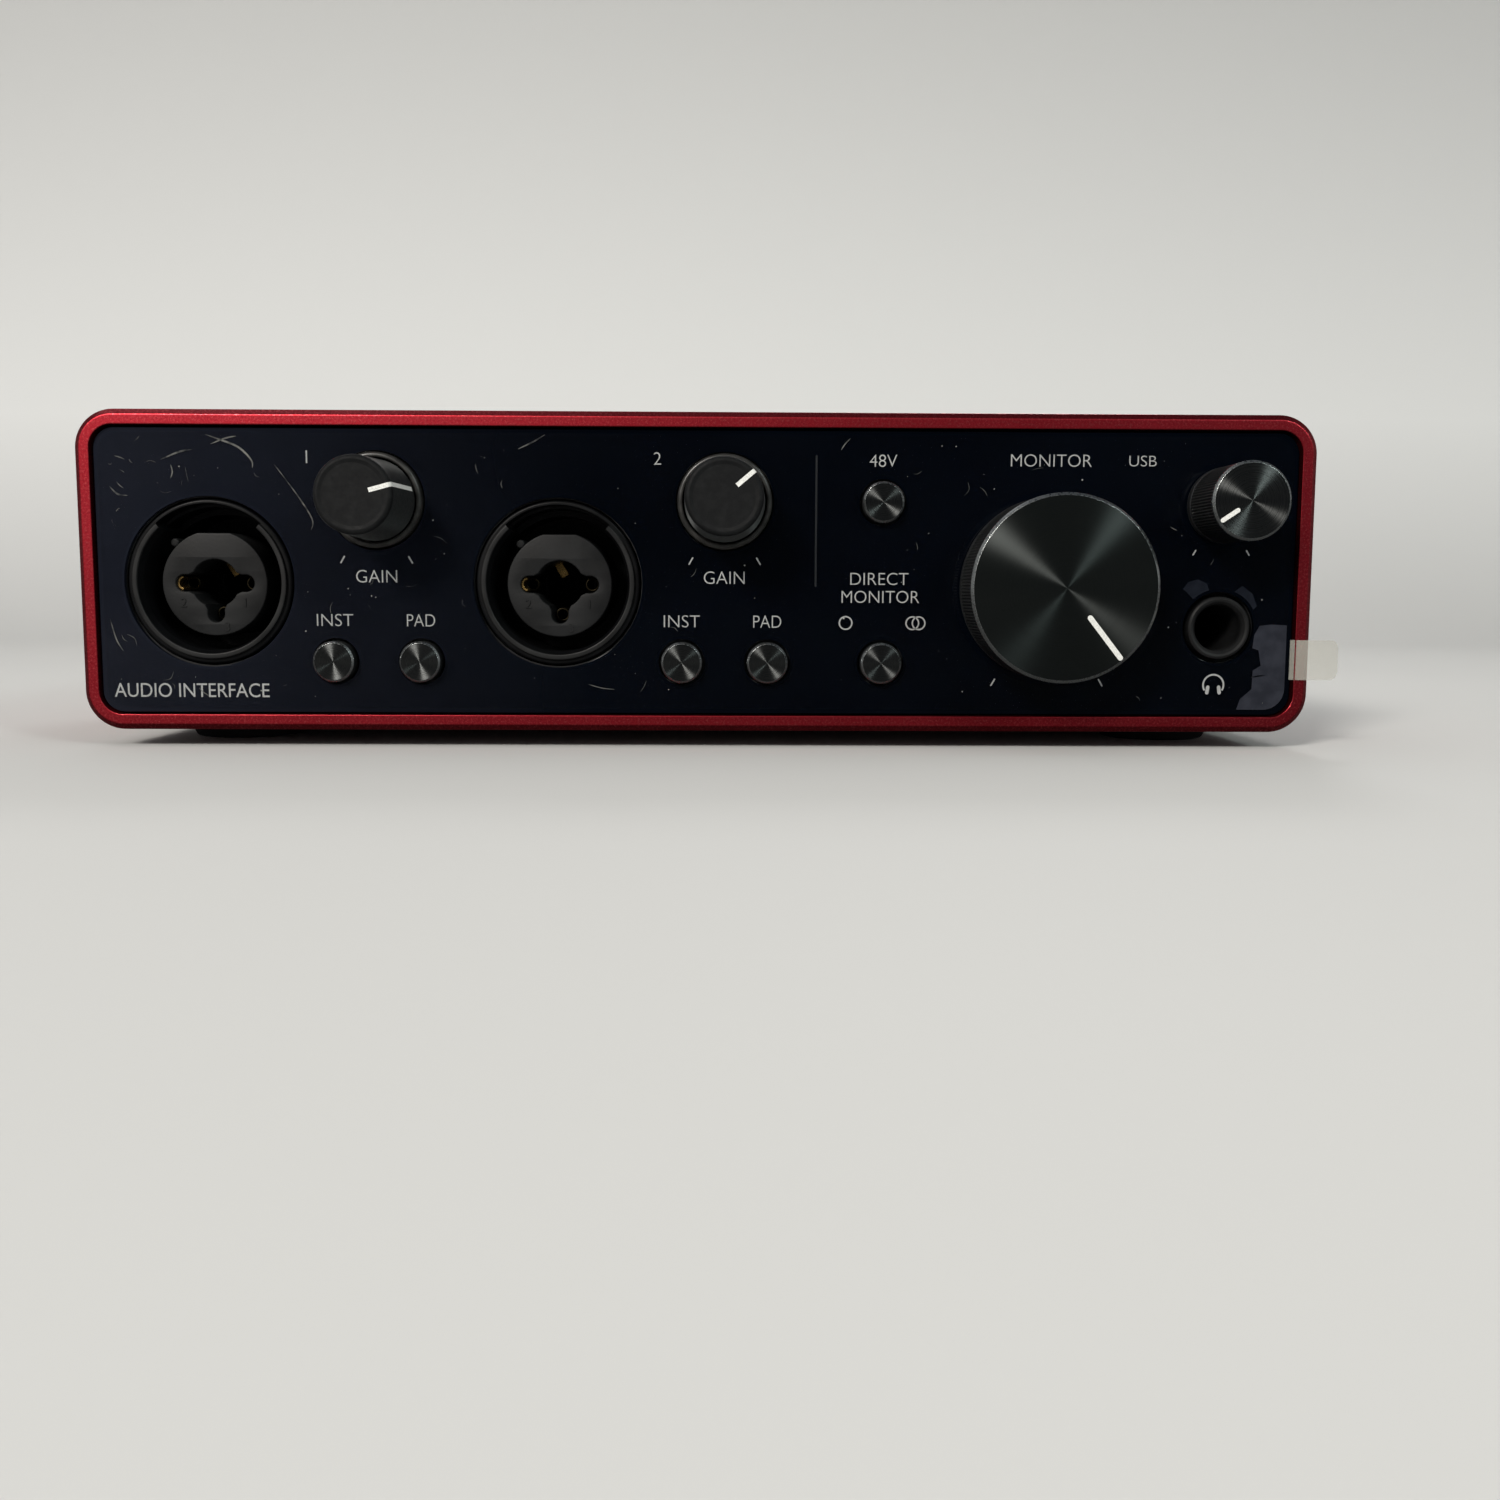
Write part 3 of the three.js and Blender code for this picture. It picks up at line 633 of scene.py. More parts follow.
def case_sleeve():
    bevel = 0.78
    profile = [
        *((0, bevel, 0.3), (bevel, 0, 0.3), (CASE_WALL, 0, 0.1)),
        *((CASE_WALL, CASE_DEPTH, 0.18), (bevel, CASE_DEPTH, 0.3), (0, CASE_DEPTH - bevel, 0.3)),
    ]
    line = held(rounded_line(profile, True, 5), True)
    sleeve = lofted([rounded_loop(inset, y) for inset, y in line], True, False)

    inner_x = CASE_WIDTH / 2 - CASE_WALL
    inner_z = CASE_HEIGHT / 2 - CASE_WALL
    board_low, board_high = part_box("main_board")
    rail_start, rail_end = 14.0, CASE_DEPTH - 3.1
    length, middle = rail_end - rail_start, (rail_end + rail_start) / 2
    board_gap = 0.9
    below = (board_low.z - MIDDLE) / MM - board_gap
    above = (board_high.z - MIDDLE) / MM + board_gap
    fittings = []
    for side in (-1, 1):
        for z in (below, above):
            fittings.append(block(2, length, 1.2, side * (inner_x - 0.99), middle, z, 0.1))
        for up in (-1, 1):
            boss = plate([rounded_box(6, 6, 0.8), circle(1.6, sides=24)], rail_start, rail_end, 0.1)
            fittings.append(moved(boss, side * (inner_x - 3), 0, up * (inner_z - 3)))
    stand_in("case_shell", "case_sleeve", merged([sleeve, *fittings]), RED, "case_anodised", FRONT_CENTRE)


def rubber_foot(node):
    low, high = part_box(node)
    radius = across(node) / 2
    height = (high.z - low.z) / MM
    hollow = 0.35
    profile = [
        *((0, hollow), (radius * 0.55, hollow, 0.2), (radius * 0.62, 0, 0.25), (radius - 0.7, 0, 0.6)),
        *((radius, height * 0.55, 0.6), (radius, height, 0.1), (0, height)),
    ]
    # The profile is turned about y, then laid down so that its first point faces the floor.
    pad = moved(turned(profile, 72), turn=90, axis="X")
    place = centre_of(node)
    place.z = low.z
    stand_in(node, f"{node}_pad", pad, RUBBER, "rubber", place)


# ---- the front skin

SOCKET_HOLE = 12.0
HALO_HOLE = 6.95
BUTTON_HOLE = 3.3
SHAFT_HOLE = 4.0
JACK_HOLE = 5.1


def front_holes(grow=0.0, monitor=SHAFT_HOLE, phones=SHAFT_HOLE):
    holes = []
    for n in (1, 2):
        holes.append(circle(SOCKET_HOLE + grow, *panel_xz(f"combo_socket_housing_{n}"), 128))
        holes.append(circle(HALO_HOLE + grow, *panel_xz(f"gain_halo_{n}")))
    holes += [circle(BUTTON_HOLE + grow, *panel_xz(f"{name}_button"), 64) for name in BUTTONS]
    holes.append(circle(monitor, *panel_xz("monitor_knob")))
    holes.append(circle(phones, *panel_xz("phones_knob"), 64))
    holes.append(circle(JACK_HOLE + grow, *panel_xz("phones_jack")))
    return holes


def overlay_skin():
    rim = rounded_box(OVERLAY_WIDTH, OVERLAY_HEIGHT, OVERLAY_RADIUS)
    skin = plate([rim, *front_holes()], OVERLAY_FRONT, OVERLAY_BACK, 0.06)
    stand_in("front_overlay", "overlay_skin", skin, OVERLAY, "overlay_gloss", FRONT_CENTRE)


FILM_FRONT = OVERLAY_FRONT - 0.1
FILM_BACK = OVERLAY_FRONT - 0.04
MARK_FRONT = FILM_FRONT - 0.012


def protective_film():
    rim = rounded_box(OVERLAY_WIDTH - 1.2, OVERLAY_HEIGHT - 1.2, 3.2)
    holes = front_holes(0.35, monitor=13.7, phones=6.1)
    sheet = plate([rim, *holes], FILM_FRONT, FILM_BACK, 0.01)
    piece("protective_film", sheet, FILM)


def film_tab():
    """The pull tab: it leaves the film, steps over the case's rim and stands out past the side."""
    low, high, thickness = -14.9, -9.2, 0.06
    corner = 1.1
    path = spline_through([(84.8, 0.6), (85.3, 0.1), (86.0, -0.22), (88.5, -0.3), (91.5, -0.05)], 24)
    rows = []
    for x, y in path:
        over = max(0.0, corner - (path[-1].x - x)) / corner
        trim = corner * (1 - math.sqrt(max(0.0, 1 - over * over)))
        bottom, top, back = low + trim, high - trim, y + thickness
        rows.append([(x, y, bottom), (x, back, bottom), (x, back, top), (x, y, top)])
    piece("film_pull_tab", lofted(rows), TAB)


def spline_through(points, steps):
    """Evenly numbered points on a Catmull-Rom curve through the given ones."""
    ends = [points[0], *points, points[-1]]
    line = []
    spans = len(points) - 1
    for i in range(steps + 1):
        t = spans * i / steps
        k = min(int(t), spans - 1)
        f = t - k
        p0, p1, p2, p3 = (Vector(p) for p in ends[k : k + 4])
        slope = p2 - p0
        bend = 2 * p0 - 5 * p1 + 4 * p2 - p3
        twist = 3 * p1 - p0 - 3 * p2 + p3
        line.append(p1 + (slope * f + bend * f**2 + twist * f**3) / 2)
    return line


def scratch(points, width, steps=14):
    """A very thin strip that tapers to both ends, on the face of the film."""
    line = spline_through(points, steps)
    front, back = MARK_FRONT, FILM_FRONT - 0.002
    rows = []
    for i, p in enumerate(line):
        ahead = line[min(i + 1, steps)] - line[max(i - 1, 0)]
        half = (width / 2) * (0.15 + math.sin(math.pi * i / steps))
        side = Vector((-ahead.y, ahead.x)).normalized() * half
        a, b = p + side, p - side
        rows.append([(a.x, front, a.y), (b.x, front, b.y), (b.x, back, b.y), (a.x, back, a.y)])
    return lofted(rows)


FILM_HOLES = [
    *((panel_xz(f"combo_socket_housing_{n}"), 12.8) for n in (1, 2)),
    *((panel_xz(f"gain_halo_{n}"), 7.8) for n in (1, 2)),
    *((panel_xz(f"{name}_button"), 4.2) for name in BUTTONS),
    (panel_xz("monitor_knob"), 14.3),
    (panel_xz("phones_knob"), 6.7),
    (panel_xz("phones_jack"), 6.0),
]


def inside_film(x, z):
    """True where the film lies, clear of its holes and edge."""
    if abs(x) > OVERLAY_WIDTH / 2 - 2 or abs(z) > OVERLAY_HEIGHT / 2 - 1.5:
        return False
    return all(math.hypot(x - hole_x, z - hole_z) > r for (hole_x, hole_z), r in FILM_HOLES)


# Marks on the film, as (width, points), in millimetres from the middle of the panel.
FILM_MARKS = (
    (0.16, ((-59.7, 14.9), (-56.5, 10.5), (-54.6, 7.3), (-54.8, 5.8))),
    (0.22, ((-75.6, 15.5), (-72.9, 16.6), (-71.1, 16.9))),
    (0.24, ((-69.2, 19.0), (-67.5, 18.4), (-64.7, 17.3), (-62.9, 15.5), (-62.8, 14.4))),
    (0.18, ((-68.5, 17.7), (-66.4, 18.5), (-64.9, 18.8))),
    (0.2, ((-82.9, 11.8), (-81.8, 10.7), (-80.4, 10.5))),
    (0.14, ((-83.6, -6.7), (-82.8, -9.7), (-81.9, -11.3))),
    (0.2, ((-25.5, 17.2), (-23.4, 18.2), (-21.7, 19.2))),
    (0.14, ((21.3, 18.9), (20.6, 18.2), (20.0, 17.3))),
    (0.16, ((79.4, -14.6), (80.4, -14.4), (81.4, -14.3))),
    (0.12, ((-82.0, 16.0), (-81.3, 15.8), (-80.6, 15.5))),
    (0.1, ((-79.2, 18.0), (-78.7, 18.4), (-78.4, 18.8))),
    (0.14, ((-74.2, 14.8), (-74.0, 13.8), (-74.3, 12.9))),
    (0.1, ((-15.8, -15.9), (-14.0, -16.4), (-12.2, -16.6))),
)


def film_marks():
    """The long scuffs as listed, then hairlines strewn mostly over the left half."""
    marks = [scratch(points, width) for width, points in FILM_MARKS]
    hairlines = 36
    while len(marks) < len(FILM_MARKS) + hairlines:
        middle = Vector((-83 + 166 * rng.random() ** 2.2, rng.uniform(-18, 18)))
        angle = rng.uniform(0, math.tau)
        length = rng.uniform(0.4, 2.2)
        bend = rng.uniform(-0.25, 0.25) * length
        ahead = Vector((math.cos(angle), math.sin(angle))) * length / 2
        side = Vector((-math.sin(angle), math.cos(angle))) * bend
        points = [middle - ahead, middle + side, middle + ahead]
        width = rng.uniform(0.03, 0.09)
        if all(inside_film(*p) for p in points):
            marks.append(scratch(points, width, 8))
    piece("film_scratches", merged(marks), SCRATCH)


def film_dust():
    """Specks of dust on the film, round and few."""
    specks, wanted = [], 64
    while len(specks) < wanted:
        x, z = rng.uniform(-83, 83), rng.uniform(-18.5, 18.5)
        size = 0.035 + 0.08 * rng.random() ** 3
        if inside_film(x, z):
            specks.append(circle(size, x, z, 7))
    piece("film_dust", plate(specks, FILM_FRONT - 0.03, FILM_FRONT - 0.005), DUST)


def film_lifts():
    """Places where the film has come away from the panel and looks paler, round the headphone socket."""
    jack_x, jack_z = panel_xz("phones_jack")
    right = OVERLAY_WIDTH / 2 - 0.75
    bottom = -OVERLAY_HEIGHT / 2 + 0.75
    edge = 5.55

    def near_jack(*points):
        return [(jack_x + x, jack_z + z) for x, z in points]

    corner = [
        *near_jack((5.2, -1.0), (5.9, 0.3), (7.6, 0.5)),
        (right, jack_z + 0.4),
        *arc(right - 3, bottom + 3, 3, 0, -90, 10),
        (jack_x + 3.0, bottom),
        *near_jack((3.5, -10.2), (5.1, -8.8), (5.2, -6.1), (6.3, -5.4), (5.9, -3.2), (5.0, -2.9)),
    ]
    above_left = arc(jack_x, jack_z, edge, 133, 106, 6)
    above_left += near_jack((-1.9, 6.3), (-3.2, 6.9), (-4.6, 6.5), (-5.3, 5.5), (-4.6, 4.9))
    above_right = arc(jack_x, jack_z, edge, 68, 28, 8)
    above_right += near_jack((5.4, 3.1), (4.7, 4.9), (3.2, 6.0))
    front, back = MARK_FRONT, FILM_FRONT - 0.004
    piece("film_lifted_corner", plate([corner], front, back), FILM_LIFT)
    piece("film_lifted_patches", plate([above_left, above_right], front, back), FILM_HAZE)


# ---- printing

INK_BACK = OVERLAY_FRONT - 0.002
INK_FRONT = OVERLAY_FRONT - 0.02


def lettering(text, x, z, height, width=None, thin=0.012, front=INK_FRONT, back=INK_BACK):
    """Capitals of that height in millimetres, centred at x, z. thin narrows the strokes."""
    curve = bpy.data.curves.new("words", "FONT")
    curve.body = text
    curve.size = 1
    curve.align_x = "CENTER"
    curve.offset = -thin
    curve.resolution_u = 5
    curve.extrude = 0.5
    mesh = meshed(curve)
    xs = [v.co.x for v in mesh.vertices]
    ys = [v.co.y for v in mesh.vertices]
    scale_z = height * MM / (max(ys) - min(ys))
    scale_x = width * MM / (max(xs) - min(xs)) if width else scale_z
    middle = Vector(((max(xs) + min(xs)) / 2, (max(ys) + min(ys)) / 2, 0))
    size = Matrix.Diagonal((scale_x, scale_z, (back - front) * MM, 1))
    mesh.transform(size @ Matrix.Translation(-middle))
    return moved(stood_up(mesh, (front + back) / 2), x, 0, z)


def inked(*outlines):
    return plate(outlines, INK_FRONT, INK_BACK)


def end_ticks(knob, start, end, width=0.2):
    """The two marks either side of straight down, where a knob's travel ends."""
    x, z = panel_xz(f"{knob}_knob")
    ticks = []
    for side in (-1, 1):
        angle = math.radians(-90 + side * (360 - SWEEP) / 2)
        middle = (start + end) / 2
        at = (x + middle * math.cos(angle), z + middle * math.sin(angle))
        ticks.append(inked(stadium(end - start, width, *at, math.degrees(angle))))
    return ticks


def headphones_icon(x, z):
    band = arc(x, z, 1.6, -32, 212, 30) + arc(x, z, 1.36, 212, -32, 30)
    pads = [inked(stadium(1.3, 0.5, x + side * 0.84, z - 0.72, 90 + side * 8)) for side in (-1, 1)]
    return [inked(band), *pads]


def front_print():
    tall = 1.72
    labels = [
        *end_ticks("gain_1", 9.0, 10.2),
        *end_ticks("gain_2", 9.0, 10.2),
        *end_ticks("monitor", 14.9, 16.1),
        *end_ticks("phones", 7.2, 8.1, 0.18),
        lettering("48V", 26.0, 15.85, tall, 3.9),
        lettering("MONITOR", 49.8, 16.0, tall, 11.5),
        lettering("USB", 62.8, 16.0, 1.5, 3.9),
        lettering("DIRECT", 25.65, -0.73, tall, 8.3),
        lettering("MONITOR", 25.83, -3.28, tall, 11.1),
        lettering("AUDIO INTERFACE", -72.4, -16.9, 2.0, 22.0, 0.002),
        *(inked(circle(1.0, x, -7.0, 32), circle(0.8, x, -7.0, 32)) for x in (20.9, 30.45, 31.35)),
        *headphones_icon(74.0, -15.7),
    ]
    for n in (1, 2):
        gain_x, _ = panel_xz(f"gain_{n}_knob")
        labels.append(lettering("GAIN", gain_x - 0.05, -0.65, 1.77, 5.8))
        for button, text, width in (("instrument", "INST", 5.15), ("pad", "PAD", 4.0)):
            x, z = panel_xz(f"{button}_{n}_button")
            labels.append(lettering(text, x, z + 5.85, tall, width))
        socket_x, _ = panel_xz(f"combo_socket_housing_{n}")
        labels.append(lettering(str(n), socket_x + 14.2, 16.0, 1.75))
    piece("front_print", merged(labels), PRINT, slot="overlay_gloss")
    divider = inked(stadium(18.5, 0.28, 16.55, 7.35, 90))
    piece("front_divider", divider, PRINT_DIM, slot="overlay_gloss")


# ---- combination sockets

SNOUT = 11.6
CAVITY = 9.8
CAVITY_END = 17.0
SHOULDER = 4.5
SOCKET_END = 36.0
JACK_BORE = 3.4
CORE = 7.5
CORE_FRONT = 3.0
LATCH = 42  # degrees either side of straight up


def socket_body(n):
    mouth = OVERLAY_FRONT + 0.35
    lip = OVERLAY_FRONT - 0.15
    tube, neck = 10.6, 4.6
    barrel = turned(
        [
            *((SNOUT, SHOULDER + 1), (SNOUT, mouth, 0.35), (10.9, mouth, 0.1)),
            *((10.9, lip, 0.16), (10.2, lip, 0.16), (CAVITY, mouth + 1.3, 0.5)),
            *((CAVITY, CAVITY_END), (JACK_BORE, CAVITY_END, 0.4), (JACK_BORE, SOCKET_END - 1)),
            *((0, SOCKET_END - 1), (0, SOCKET_END - 0.4), (neck, SOCKET_END - 0.4)),
            *((neck, CAVITY_END + 1.6), (tube, CAVITY_END + 1.6), (tube, SHOULDER + 1)),
        ],
        160,
    )
    gap = 0.01  # kept between islands of one mesh
    outline = rounded_box(24, 25, 1.2)
    opening = arc(0, 0, 11.05, 90 - LATCH, 90 + LATCH, 24) + arc(0, 0, 8.6, 90 + LATCH, 90 - LATCH, 24)
    barrel = carved(barrel, [plate([opening], lip - 1, 9.0)])
    shell = plate([outline, circle(tube + gap)], SHOULDER, CAVITY_END + 1, 0.25)
    rear = plate([outline, circle(neck + gap, sides=48)], CAVITY_END + 1.4, SOCKET_END, 0.25)

    def zone(centre):
        return int(centre.y < OVERLAY_FRONT + 0.05 and math.hypot(centre.x, centre.z) < 10.95)

    whole = merged([barrel, shell, rear])
    node = f"combo_socket_housing_{n}"
    stand_in(node, f"combo_socket_body_{n}", whole, [SOCKET_DARK, LIP], "socket_plastic", zones=zone)


def keyhole():
    """The bore's outline, with a flared, round-ended slot for a contact to its right, left and below."""
    half, reach, throat, flare = 1.2, 4.4, 3.75, 27
    outline = []
    for direction, after in ((0, 180), (180, 270), (270, 360)):
        a, b = math.radians(direction), math.radians(after)
        outline += arc(*turned_point(reach, 0, a), half, direction - 90, direction + 90, 14)
        outline.append(turned_point(throat, half, a))
        outline += arc(0, 0, JACK_BORE, direction + flare, after - flare, 20 if after == 180 else 4)
        outline.append(turned_point(throat, -half, b))
    return outline


def socket_insert(n):
    flat = 18
    rim = arc(0, 0, CORE, 90 + flat, 450 - flat, 110)
    front, back = CORE_FRONT, CAVITY_END - 0.15
    insert = plate([rim, keyhole()], front, back, 0.22, 2)
    key = turned([(0, front + 0.25), (0.62, front + 0.25, 0.25), (0.62, 9), (0, 9)], 24)
    moved(key, -5.62, 0, 5.75)
    numbers = [
        lettering(text, x, z, 1.25, None, 0.01, front - 0.12, front + 0.05)
        for text, x, z in (("2", -4.5, -2.8), ("1", 4.3, -2.8), ("3", 1.6, -6.2))
    ]
    whole = merged([insert, key, *numbers])
    stand_in(f"combo_socket_core_{n}", f"combo_socket_insert_{n}", whole, SOCKET, "socket_plastic")


def pin_contacts(n):
    """The three sprung sleeves that grip a plug's pins, below the insert's face, and the jack's ring leaf."""
    sleeves = []
    reach, start, end = 4.35, 6.6, 14.5
    for x, z in ((-reach, 0), (reach, 0), (0, -reach)):
        tube = turned([(0.72, start, 0.1), (0.98, start, 0.1), (0.98, end), (0.72, end)], 32)
        sleeves.append(moved(tube, x, 0, z))
    at = on_front(f"combo_socket_core_{n}")
    # The sleeves carry painted shade: their metal is near black.
    piece(f"pin_contacts_{n}", merged(sleeves), SHADED_BRONZE, at, slot="gold")
    guard = plate([arc(-4.55, 0, 1.02, 100, 260, 12) + arc(-4.55, 0, 0.72, 260, 100, 12)], 3.6, 6.4, 0.05)
    leaf = block(1.3, 0.25, 2.3, edge=0.1)
    moved(leaf, turn=-32)
    moved(leaf, -0.95, 14.0, 2.25)
    arm = moved(block(1.0, 5.0, 0.25, edge=0.08), -1.2, 16.4, 3.15)
    piece(f"contact_leaves_{n}", merged([guard, leaf, arm]), GOLD, at, slot="gold")


def tip_spring(n):
    """The leaf that presses on a plug's tip, bent from strip."""
    bends = [(21.8, 5.6), (24.5, 5.45), (28.0, 3.9), (30.4, 2.75), (31.8, 3.2), (33.8, 5.0)]
    half, strip = 1.25, 0.3
    rows = [
        [(-half, y, z), (half, y, z), (half, y, z + strip), (-half, y, z + strip)]
        for y, z in spline_through(bends, 30)
    ]
    at = on_front(f"combo_socket_core_{n}")
    stand_in(f"jack_tip_spring_{n}", f"tip_spring_leaf_{n}", lofted(rows), GOLD, "gold", at)


# ---- knobs

SHAFT_BORE = 3.0
KNOB_BACK = 0.2
JOINTS = {joint["name"]: joint for joint in frame["joints"]}


def pointer_angle(knob):
    """Degrees clockwise from straight up at rest: the joint's travel is centred there."""
    return -SWEEP / 2 - JOINTS[f"{knob}_turn"]["range_deg"][0]


def pointer_line(profile, start, end_y, width, steps=6):
    """An inlaid line over the face and down the side of a turned profile, drawn pointing up."""
    line = rounded_line(profile, False, steps)
    face = line[0].y
    path = [Vector((start, face))]
    path += [p for p in line if p.x > start + 0.05 and p.y < end_y]
    following = next(p for p in line if p.y > end_y)
    last = path[-1]
    share = (end_y - last.y) / (following.y - last.y)
    path.append(last + (following - last) * share)
    rows = []
    for i, p in enumerate(path):
        ahead = (path[min(i + 1, len(path) - 1)] - path[max(i - 1, 0)]).normalized()
        out = Vector((-ahead.y, ahead.x))
        if out.y > 0 and abs(out.y) > abs(out.x) or out.x < -0.5:
            out = -out
        top, under = p + out * 0.03, p - out * 0.15
        half = width / 2
        rows.append([(s, p.y, p.x) for s, p in ((-half, top), (half, top), (half, under), (-half, under))])
    return lofted(rows)


def add_pointer(knob, mesh):
    moved(mesh, turn=pointer_angle(knob))
    piece(f"{knob}_pointer", mesh, WHITE, on_front(f"{knob}_knob"), f"{knob}_knob")


def bore(knob):
    """The blind bore for a knob's shaft, as the last corners of the knob's profile."""
    tip = depths(f"{knob}_shaft")[0] - 0.1
    return (SHAFT_BORE, KNOB_BACK, 0.1), (SHAFT_BORE, tip), (0, tip)


def gain_knob(n):
    knob = f"gain_{n}"
    node = f"{knob}_knob"
    face, _ = depths(node)
    dish = face + 0.1
    outside = [(0, dish), (4.2, dish, 0.5), (4.65, face, 0.4), (5.3, face, 0.6), (5.7, KNOB_BACK, 0.12)]
    cap = turned([*outside, *bore(knob)], 128)
    stand_in(node, f"{knob}_cap", cap, SOFT, "knob_soft", body=node)
    add_pointer(knob, pointer_line(outside, 2.2, -0.7, 0.62))


def knurled_knob(knob, ribs, band, chamfer, dome, pointer):
    """A turned metal knob: a spun face, domed a little, a bright cut edge and a band of fine ribs."""
    node = f"{knob}_knob"
    face, _ = depths(node)
    radius = across(node) / 2
    start, end = face + band[0], face + band[1]
    depth, sides_per_rib = 0.16, 6

    def ripple(r, y, k):
        if r < radius - 0.3 or not start - 0.01 <= y <= end + 0.01:
            return 0
        return -depth * (0.5 - 0.5 * math.cos(2 * math.pi * k / sides_per_rib))

    flat = radius - chamfer
    outside = [
        *((flat * i / 8, face + dome * (i / 8) ** 2) for i in range(8)),
        (flat, face + dome, 0.05),
        (radius, face + dome + chamfer, 0.05),
        *((radius, start - 0.25, 0.04), (radius - 0.12, start - 0.1), (radius - 0.02, start)),
        *((radius - 0.02, end), (radius - 0.12, end + 0.1), (radius, end + 0.25, 0.04)),
        (radius, KNOB_BACK, 0.1),
    ]
    cap = turned([*outside, *bore(knob)], ribs * sides_per_rib, ripple, 3)
    zones = metal_zones(face + dome + chamfer + 0.2, flat - 0.02)
    looks = [SPUN_KNOB if knob == "monitor" else SPUN_BUTTON, CUT_RIM, KNURL]
    stand_in(node, f"{knob}_cap", cap, looks, "knob_spun", body=node, sharp=28, zones=zones)
    length, width, middle = pointer
    rise = face + dome * (middle / flat) ** 2
    inlay = plate([stadium(length, width, 0, 0, 90)], -0.05, 0.1)
    slope = math.degrees(math.atan(2 * dome * middle / flat**2))
    moved(moved(inlay, turn=-slope, axis="X"), 0, rise, middle)
    add_pointer(knob, inlay)


def metal_zones(side, flat):
    """Picks a metal cap's material: 0 on its spun face, 1 on its cut rim and 2 on its side."""

    def zone(centre):
        if centre.y > side:
            return 2
        return 0 if math.hypot(centre.x, centre.z) < flat else 1

    return zone


def halo_ring(n):
    """The smoked light guide round a gain knob."""
    node = f"gain_halo_{n}"
    front, back = depths(node)
    outer = across(node) / 2
    inner = outer - 0.75
    ring = turned([(inner, back), (inner, front, 0.2), (outer, front, 0.45), (outer, back)], 128)
    stand_in(node, f"gain_halo_ring_{n}", ring, SMOKE, "halo_smoke")


# ---- buttons and the headphone socket


def push_button(name):
    node = f"{name}_button"
    face, end = depths(node)
    radius, flange, stem = 2.9, 3.8, 1.3
    cap = turned(
        [
            *((0, face + 0.06), (radius - 0.34, face, 0.03), (radius - 0.26, face, 0.03)),
            *((radius, face + 0.26, 0.04), (radius, SHOULDER)),
            *((flange, SHOULDER, 0.1), (flange, SHOULDER + 0.8, 0.1), (stem, SHOULDER + 0.8)),
            *((stem, end, 0.2), (0, end)),
        ]
    )
    looks = [SPUN_BUTTON, CUT_RIM, KNURL]
    zones = metal_zones(face + 0.3, radius - 0.3)
    stand_in(node, f"{name}_cap", cap, looks, "button_spun", body=node, zones=zones)


def headphone_socket():
    _, end = depths("phones_jack")
    mouth = OVERLAY_FRONT - 0.45
    collar, inner = 4.45, 3.3
    barrel = turned(
        [
            *((collar, SHOULDER + 0.5), (collar, mouth + 0.25, 0.25), (4.1, mouth, 0.12)),
            *((3.75, mouth + 0.12, 0.1), (inner + 0.12, mouth + 0.55, 0.1), (inner, mouth + 0.9, 0.2)),
            *((inner, end - 1.2), (0, end - 1.2), (0, end - 0.4)),
            *((4.3, end - 0.4), (4.3, SHOULDER + 0.5)),
        ],
        128,
    )
    body = plate([rounded_box(12, 12, 0.8), circle(4.31, sides=64)], SHOULDER, end, 0.2)
    stand_in("phones_jack", "headphone_socket_body", merged([barrel, body]), SOCKET, "socket_plastic")
    ring = turned([(3.32, 8.0), (3.5, 8.0), (3.5, 8.9), (3.32, 8.9)], 64)
    piece("headphone_sleeve_contact", ring, STEEL, on_front("phones_jack"), slot="steel")


# ---- the rear


def rear_skin():
    low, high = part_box("rear_panel")
    front, back = depths("rear_panel", REAR)
    height = (high.z - low.z) / MM
    left_x, _ = panel_xz("line_output_jack_left")
    right_x, _ = panel_xz("line_output_jack_right")
    usb_x, usb_z = panel_xz("usb_c_shell")
    lock_x, lock_z = panel_xz("lock_plate")
    bush_hole, screw_hole = 4.7, 1.7
    holes = [circle(bush_hole, *panel_xz(f"line_output_jack_{side}"), 64) for side in ("left", "right")]
    holes += [circle(screw_hole, *panel_xz(f"rear_screw_{place}"), 32) for place in SCREW_PLACES]
    holes.append(stadium(9.54, 3.86, usb_x, usb_z))
    holes.append(rounded_box(7, 3, 1, lock_x, lock_z, 6))
    skin = plate([rounded_box(across("rear_panel"), height, 3), *holes], front, back, 0.2)
    stand_in("rear_panel", "rear_skin", skin, PANEL, "panel_black", REAR_CENTRE)

    words, tall = [], 1.6
    for text, x, z, size in (
        ("LINE OUTPUTS", (left_x + right_x) / 2, 12.5, 1.7),
        ("L", left_x, 9.6, tall),
        ("R", right_x, 9.6, tall),
        ("USB-C", usb_x, usb_z + 4.4, tall),
        ("LOCK", lock_x, lock_z + 7.2, tall),
    ):
        word = lettering(text, 0, 0, size, None, 0.008, -0.01, 0.01)
        words.append(moved(moved(word, turn=180, axis="Z"), x, back + 0.012, z))
    piece("rear_print", merged(words), PRINT, REAR_CENTRE, slot="panel_black")


def thread(start, end, pitch, rise, root, crest):
    """The profile of a screw thread, drawn as plain rings. rise is how far a crest is past its root."""
    profile = []
    while start < end:
        profile += [(root, start), (crest, start + rise)]
        start += pitch
    return profile


